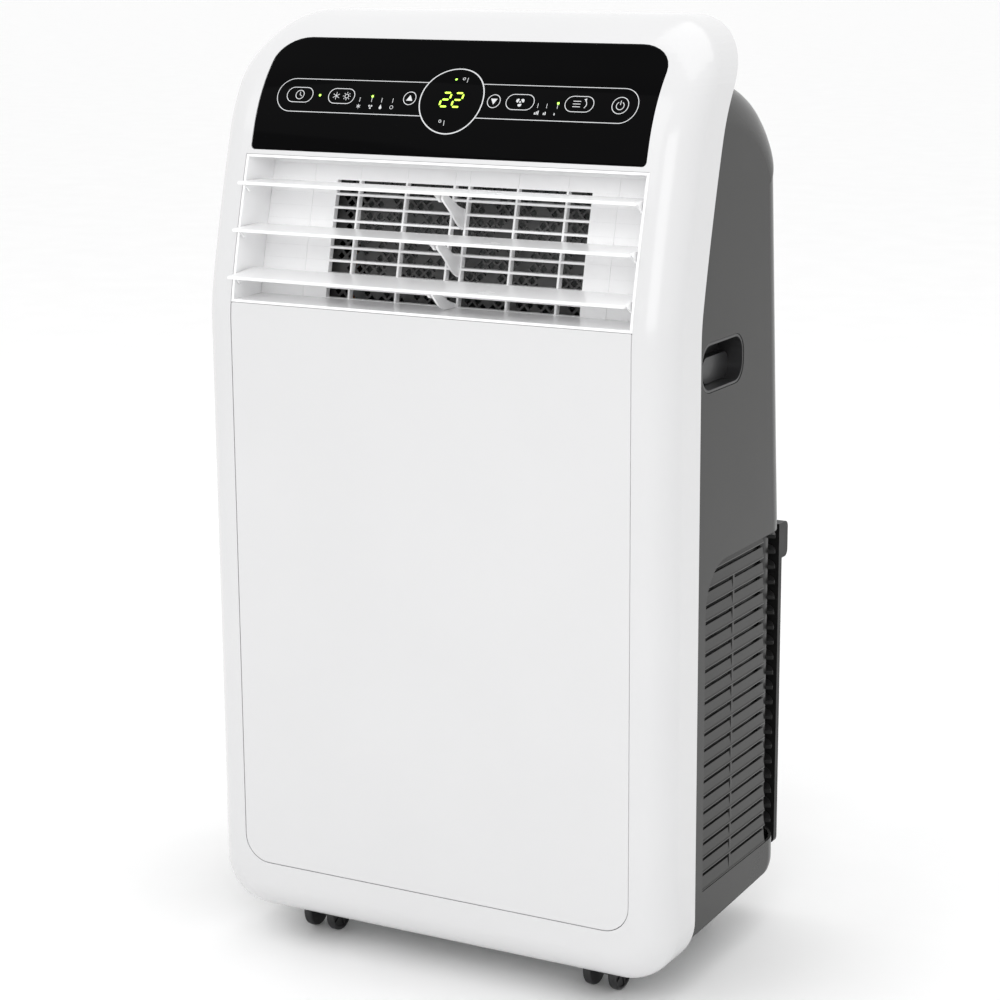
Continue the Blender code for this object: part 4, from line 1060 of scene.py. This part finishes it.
def turned(name, profile, centre, axis_turn, material, segments=64):
    """Turn a closed profile (radius, along the axis) about +Z, then point +Z where asked."""
    bm = bmesh.new()
    rings = []
    for step in range(segments):
        angle = 2 * pi * step / segments
        rings.append([bm.verts.new((r * cos(angle), r * sin(angle), along)) for r, along in profile])
    count = len(profile)
    for index in range(segments):
        ring, following = rings[index], rings[(index + 1) % segments]
        for place in range(count):
            after = (place + 1) % count
            bm.faces.new((ring[place], following[place], following[after], ring[after]))
    bmesh.ops.remove_doubles(bm, verts=bm.verts, dist=1e-6)
    bmesh.ops.transform(bm, matrix=Matrix.Translation(centre) @ axis_turn, verts=bm.verts)
    return new_object(name, bm, material)


TO_REAR = Matrix.Rotation(-pi / 2, 4, "X")
TO_FLOOR = Matrix.Rotation(pi, 4, "X")
TO_RIGHT = Matrix.Rotation(pi / 2, 4, "Y")


def exhaust_collar():
    r, seat, lip = EXHAUST_R, REAR + 0.0003, 0.3020
    profile = [(r, 0.250), (r + 0.003, 0.250), (r + 0.003, seat), (r + 0.0092, seat),
               (r + 0.010, seat + 0.0008), (r + 0.010, seat + 0.0019), (r + 0.0092, seat + 0.0027),
               (r + 0.0042, seat + 0.0027), (r + 0.003, seat + 0.0036), (r + 0.003, lip - 0.0006),
               (r + 0.0024, lip), (r + 0.0006, lip), (r, lip - 0.0006)]
    collar = turned("exhaust_collar_ring", profile, (0, FRONT, EXHAUST_Z), TO_REAR, BLACK, 96)
    finish_piece(collar, "cabinet", ["exhaust_collar"])
    bars = bmesh.new()
    for offset in (-0.048, -0.024, 0.0, 0.024, 0.048):
        reach = sqrt(EXHAUST_R ** 2 - offset ** 2) + 0.0005
        z = EXHAUST_Z + offset
        box((-reach, FRONT + 0.2515, z - 0.001), (reach, FRONT + 0.2545, z + 0.001), bars)
    low, high = EXHAUST_Z - EXHAUST_R, EXHAUST_Z + EXHAUST_R
    box((-0.001, FRONT + 0.2516, low), (0.001, FRONT + 0.2548, high), bars)
    guard = new_object("exhaust_finger_guard", bars, BLACK)
    soften(guard, 0.0004, 2)
    finish_piece(guard, "cabinet")


def drain_and_cord():
    seat = rear_face(DRAIN_Z) + 0.0014
    for name, x in (("drain_port", DRAIN_X), ("cord_gland", GLAND_X)):
        profile = [(0.0042, 0.245), (0.0072, 0.245), (0.0072, seat), (0.0110, seat),
                   (0.0115, seat + 0.0005), (0.0115, seat + 0.0025), (0.0110, seat + 0.003),
                   (0.0072, seat + 0.003), (0.0072, seat + 0.0095), (0.0067, seat + 0.010),
                   (0.0047, seat + 0.010), (0.0042, seat + 0.0095)]
        piece = turned(f"{name}_body", profile, (x, FRONT, DRAIN_Z), TO_REAR, BLACK, 48)
        finish_piece(piece, "cabinet", [name])
    upper, lower = (DRAIN_X, FRONT + seat + 0.0020, DRAIN_Z), (-0.060, FRONT + 0.225, PAN_Z + 0.010)
    # name, radius of the plug and of the head, inner end, direction of the axis, where the head starts
    caps = (("drain_cap_upper", 0.0037, 0.0090, upper, TO_REAR, 0.0090),
            ("drain_cap_lower", 0.0055, 0.0110, lower, TO_FLOOR, 0.0125))
    for name, plug, head, place, turn, start in caps:
        profile = [(0.00001, 0.0), (plug - 0.0005, 0.0), (plug, 0.0006), (plug, start),
                   (head - 0.0006, start), (head, start + 0.0006), (head, start + 0.0062),
                   (head - 0.0008, start + 0.0070), (0.0030, start + 0.0070), (0.0026, start + 0.0064),
                   (0.00001, start + 0.0064)]
        piece = turned(f"{name}_plug", profile, place, turn, RUBBER, 48)
        notches = bmesh.new()
        for step in range(12):
            angle = 2 * pi * step / 12
            reach = head + 0.0006
            local = Vector((reach * cos(angle), reach * sin(angle), start + 0.0035))
            spot = Matrix.Translation(place) @ turn @ local
            cylinder(spot, 0.0011, 0.02, "y" if turn is TO_REAR else "z", 12, notches)
        boolean(piece, [notches])
        finish_piece(piece, name, [name])


def screws():
    for index in range(1, 5):
        node = f"housing_screw_{index}"
        low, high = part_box(node)
        centre = (low + high) / 2
        radius, tall = (high.x - low.x) / 2, high.y - low.y
        profile = [(0.00001, 0.0), (radius, 0.0), (radius, tall * 0.25)]
        for angle in (20, 40, 60, 75):
            profile.append((radius * cos(radians(angle)), tall * (0.25 + 0.75 * sin(radians(angle)))))
        profile += [(0.00001, tall)]
        head = turned(f"{node}_head", profile, (centre.x, low.y, centre.z), TO_REAR, ZINC, 32)
        cross = []
        for across, up in ((radius * 0.6, radius * 0.14), (radius * 0.14, radius * 0.6)):
            bm = box((-across, high.y - tall * 0.55, -up), (across, high.y + 0.01, up))
            bmesh.ops.translate(bm, verts=bm.verts, vec=(centre.x, 0, centre.z))
            cross.append(bm)
        boolean(head, cross)
        finish_piece(head, "cabinet", [node])


# ---- casters ----------------------------------------------------------------------------------------
CASTER_X, CASTER_FRONT, ARCH_R = 0.142, 0.048, 0.0285
WHEEL_R, WHEEL_TRAIL, SWIVEL_Z = 0.0165, 0.010, 0.0435


def casters():
    for end in ("front", "rear"):
        for hand in ("left", "right"):
            place = f"caster_{end}_{hand}"
            low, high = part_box(f"{place}_wheels")
            axle = (low + high) / 2
            hood(place, axle)
            wheels(place, axle)


def hood(place, axle):
    x, y = axle.x, axle.y - WHEEL_TRAIL
    profile = [(y - 0.013, 0.0455), (y - 0.013, 0.034), (axle.y - 0.0085, 0.0165)]
    profile += arc((axle.y, 0.0165), 0.0060, 200, 340, 8)
    profile += [(axle.y + 0.015, 0.021), (axle.y + 0.0145, 0.029), (axle.y + 0.011, 0.035),
                (y + 0.013, 0.0455)]
    body = new_object(f"{place}_fork", prism(profile, "x", x - 0.0065, x + 0.0065), BLACK)
    disc, stem = cylinder((x, y, SWIVEL_Z), 0.0130, 0.004), cylinder((x, y, 0.050), 0.0038, 0.014)
    boolean(body, [disc, stem], "UNION")
    boolean(body, [cylinder(axle, 0.0034, 0.05, "x", 24)])
    soften(body, 0.0005, 2, 50.0)
    finish_piece(body, f"{place}_hood", [f"{place}_hood"])


def wheels(place, axle):
    """Twin wheels on one axle: rounded treads and dished outer faces with spokes."""
    inner, outer = 0.0080, 0.0160
    rim = WHEEL_R - 0.0028
    profile = [(0.00001, -outer + 0.0010), (0.0040, -outer + 0.0006), (0.0046, -outer + 0.0022),
               (rim, -outer + 0.0022), (rim + 0.0004, -outer + 0.0004), (WHEEL_R - 0.0014, -outer),
               (WHEEL_R - 0.0004, -outer + 0.0008), (WHEEL_R, -outer + 0.0026), (WHEEL_R, -inner - 0.0022),
               (WHEEL_R - 0.0006, -inner - 0.0006), (WHEEL_R - 0.0018, -inner), (0.0030, -inner)]
    profile += [(radius, -along) for radius, along in reversed(profile)]
    piece = turned(f"{place}_tread", profile, axle, TO_RIGHT, TREAD, 64)
    spokes = bmesh.new()
    for side in (-1, 1):
        for step in range(5):
            inside, outside = side * (outer - 0.0024), side * (outer - 0.0010)
            bar = box((-0.0009, 0.0038, inside), (0.0009, rim + 0.0004, outside))
            turn = Matrix.Rotation(2 * pi * step / 5, 3, "Z")
            bmesh.ops.rotate(bar, verts=bar.verts, cent=(0, 0, 0), matrix=turn)
            bmesh.ops.transform(bar, verts=bar.verts, matrix=Matrix.Translation(axle) @ TO_RIGHT)
            mesh = bpy.data.meshes.new("spoke")
            bar.to_mesh(mesh)
            bar.free()
            spokes.from_mesh(mesh)
            bpy.data.meshes.remove(mesh)
    boolean(piece, [spokes], "UNION")
    finish_piece(piece, f"{place}_wheels", [f"{place}_wheels"], 50.0)


# ---- CAD nodes that stay: procedural finishes --------------------------------------------------------
KEPT = {
    "base_pan": INNER, "drain_deck": INNER, "exhaust_scroll": INNER, "exhaust_fan_wheel": INNER,
    "blower_wheel": INNER, "blower_housing": INNER, "louvre_link": INNER, "compressor": ENAMEL,
    "condenser_coil": FINS, "evaporator_coil": FINS, "run_capacitor": ZINC, "exhaust_fan_motor": ZINC,
    "blower_motor": ZINC, "swing_motor": ZINC, "electrical_box": ZINC, "discharge_pipe": COPPER,
    "suction_pipe": COPPER, "control_board": BOARD, "filter_net": NET,
}


def finish_kept_nodes():
    for name, material in KEPT.items():
        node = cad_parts[name]
        node.data.materials.clear()
        node.data.materials.append(material)


# ---- camera, floor and light ---------------------------------------------------------------------------
AZIMUTH, ELEVATION, ROLL = radians(28.91), radians(13.0), radians(-0.37)
CAMERA_PLACE = (1.0594, -1.9361, 0.9049)


def camera():
    data = bpy.data.cameras.new("camera")
    data.lens, data.sensor_width = 92.48, 36.0
    made = bpy.data.objects.new("camera", data)
    bpy.context.scene.collection.objects.link(made)
    back = Vector((sin(AZIMUTH) * cos(ELEVATION), -cos(AZIMUTH) * cos(ELEVATION), sin(ELEVATION)))
    right = Vector((cos(AZIMUTH), sin(AZIMUTH), 0.0))
    up = back.cross(right)
    turned_right = cos(ROLL) * right + sin(ROLL) * up
    turned_up = cos(ROLL) * up - sin(ROLL) * right
    made.matrix_world = Matrix((
        (turned_right.x, turned_up.x, back.x, CAMERA_PLACE[0]),
        (turned_right.y, turned_up.y, back.y, CAMERA_PLACE[1]),
        (turned_right.z, turned_up.z, back.z, CAMERA_PLACE[2]),
        (0.0, 0.0, 0.0, 1.0)))
    bpy.context.scene.camera = made


def floor():
    bm = bmesh.new()
    bmesh.ops.create_grid(bm, x_segments=1, y_segments=1, size=80.0)
    finish = moulded("studio_floor", (0.93, 0.93, 0.93), 0.7, 60.0, 0.0001, 0.0, 0.01)
    made = new_object("floor", bm, finish)


def area_light(name, place, target, size, power):
    data = bpy.data.lights.new(name, "AREA")
    data.shape = "RECTANGLE"
    data.size, data.size_y = size
    data.energy = power
    made = bpy.data.objects.new(name, data)
    made.location = place
    made.rotation_euler = (Vector(target) - Vector(place)).to_track_quat("-Z", "Y").to_euler()
    bpy.context.scene.collection.objects.link(made)


def lights():
    world = bpy.data.worlds.new("studio")
    world.use_nodes = True
    background = world.node_tree.nodes["Background"]
    background.inputs["Color"].default_value = (1.0, 1.0, 1.0, 1.0)
    background.inputs["Strength"].default_value = 1.04
    bpy.context.scene.world = world
    bpy.context.scene.view_settings.view_transform = "Standard"
    area_light("key", (-1.2, -2.0, 2.6), (0, 0, 0.6), (1.8, 1.8), 9.0)
    area_light("top", (0.2, 0.6, 2.8), (0, 0, 0.4), (1.8, 1.8), 10.0)
    area_light("fill", (0.9, -2.2, 1.5), (0, 0, 0.6), (1.4, 1.4), 11.0)


def build():
    front_shell()
    front_panel()
    control_fascia()
    icon_marks(key_marks()).made("fascia_print", PRINT, "piano_black")
    display()
    outlet_duct()
    outlet_grille()
    outlet_guard()
    louvre_supports()
    for index, name in enumerate(LOUVRE_NAMES):
        louvre(index, name)
    rear_housing()
    housing_flange()
    slats()
    corner_returns()
    grip_cups()
    rear_grille()
    filter_unit()
    exhaust_collar()
    drain_and_cord()
    screws()
    casters()
    finish_kept_nodes()


camera()
floor()
lights()
build()
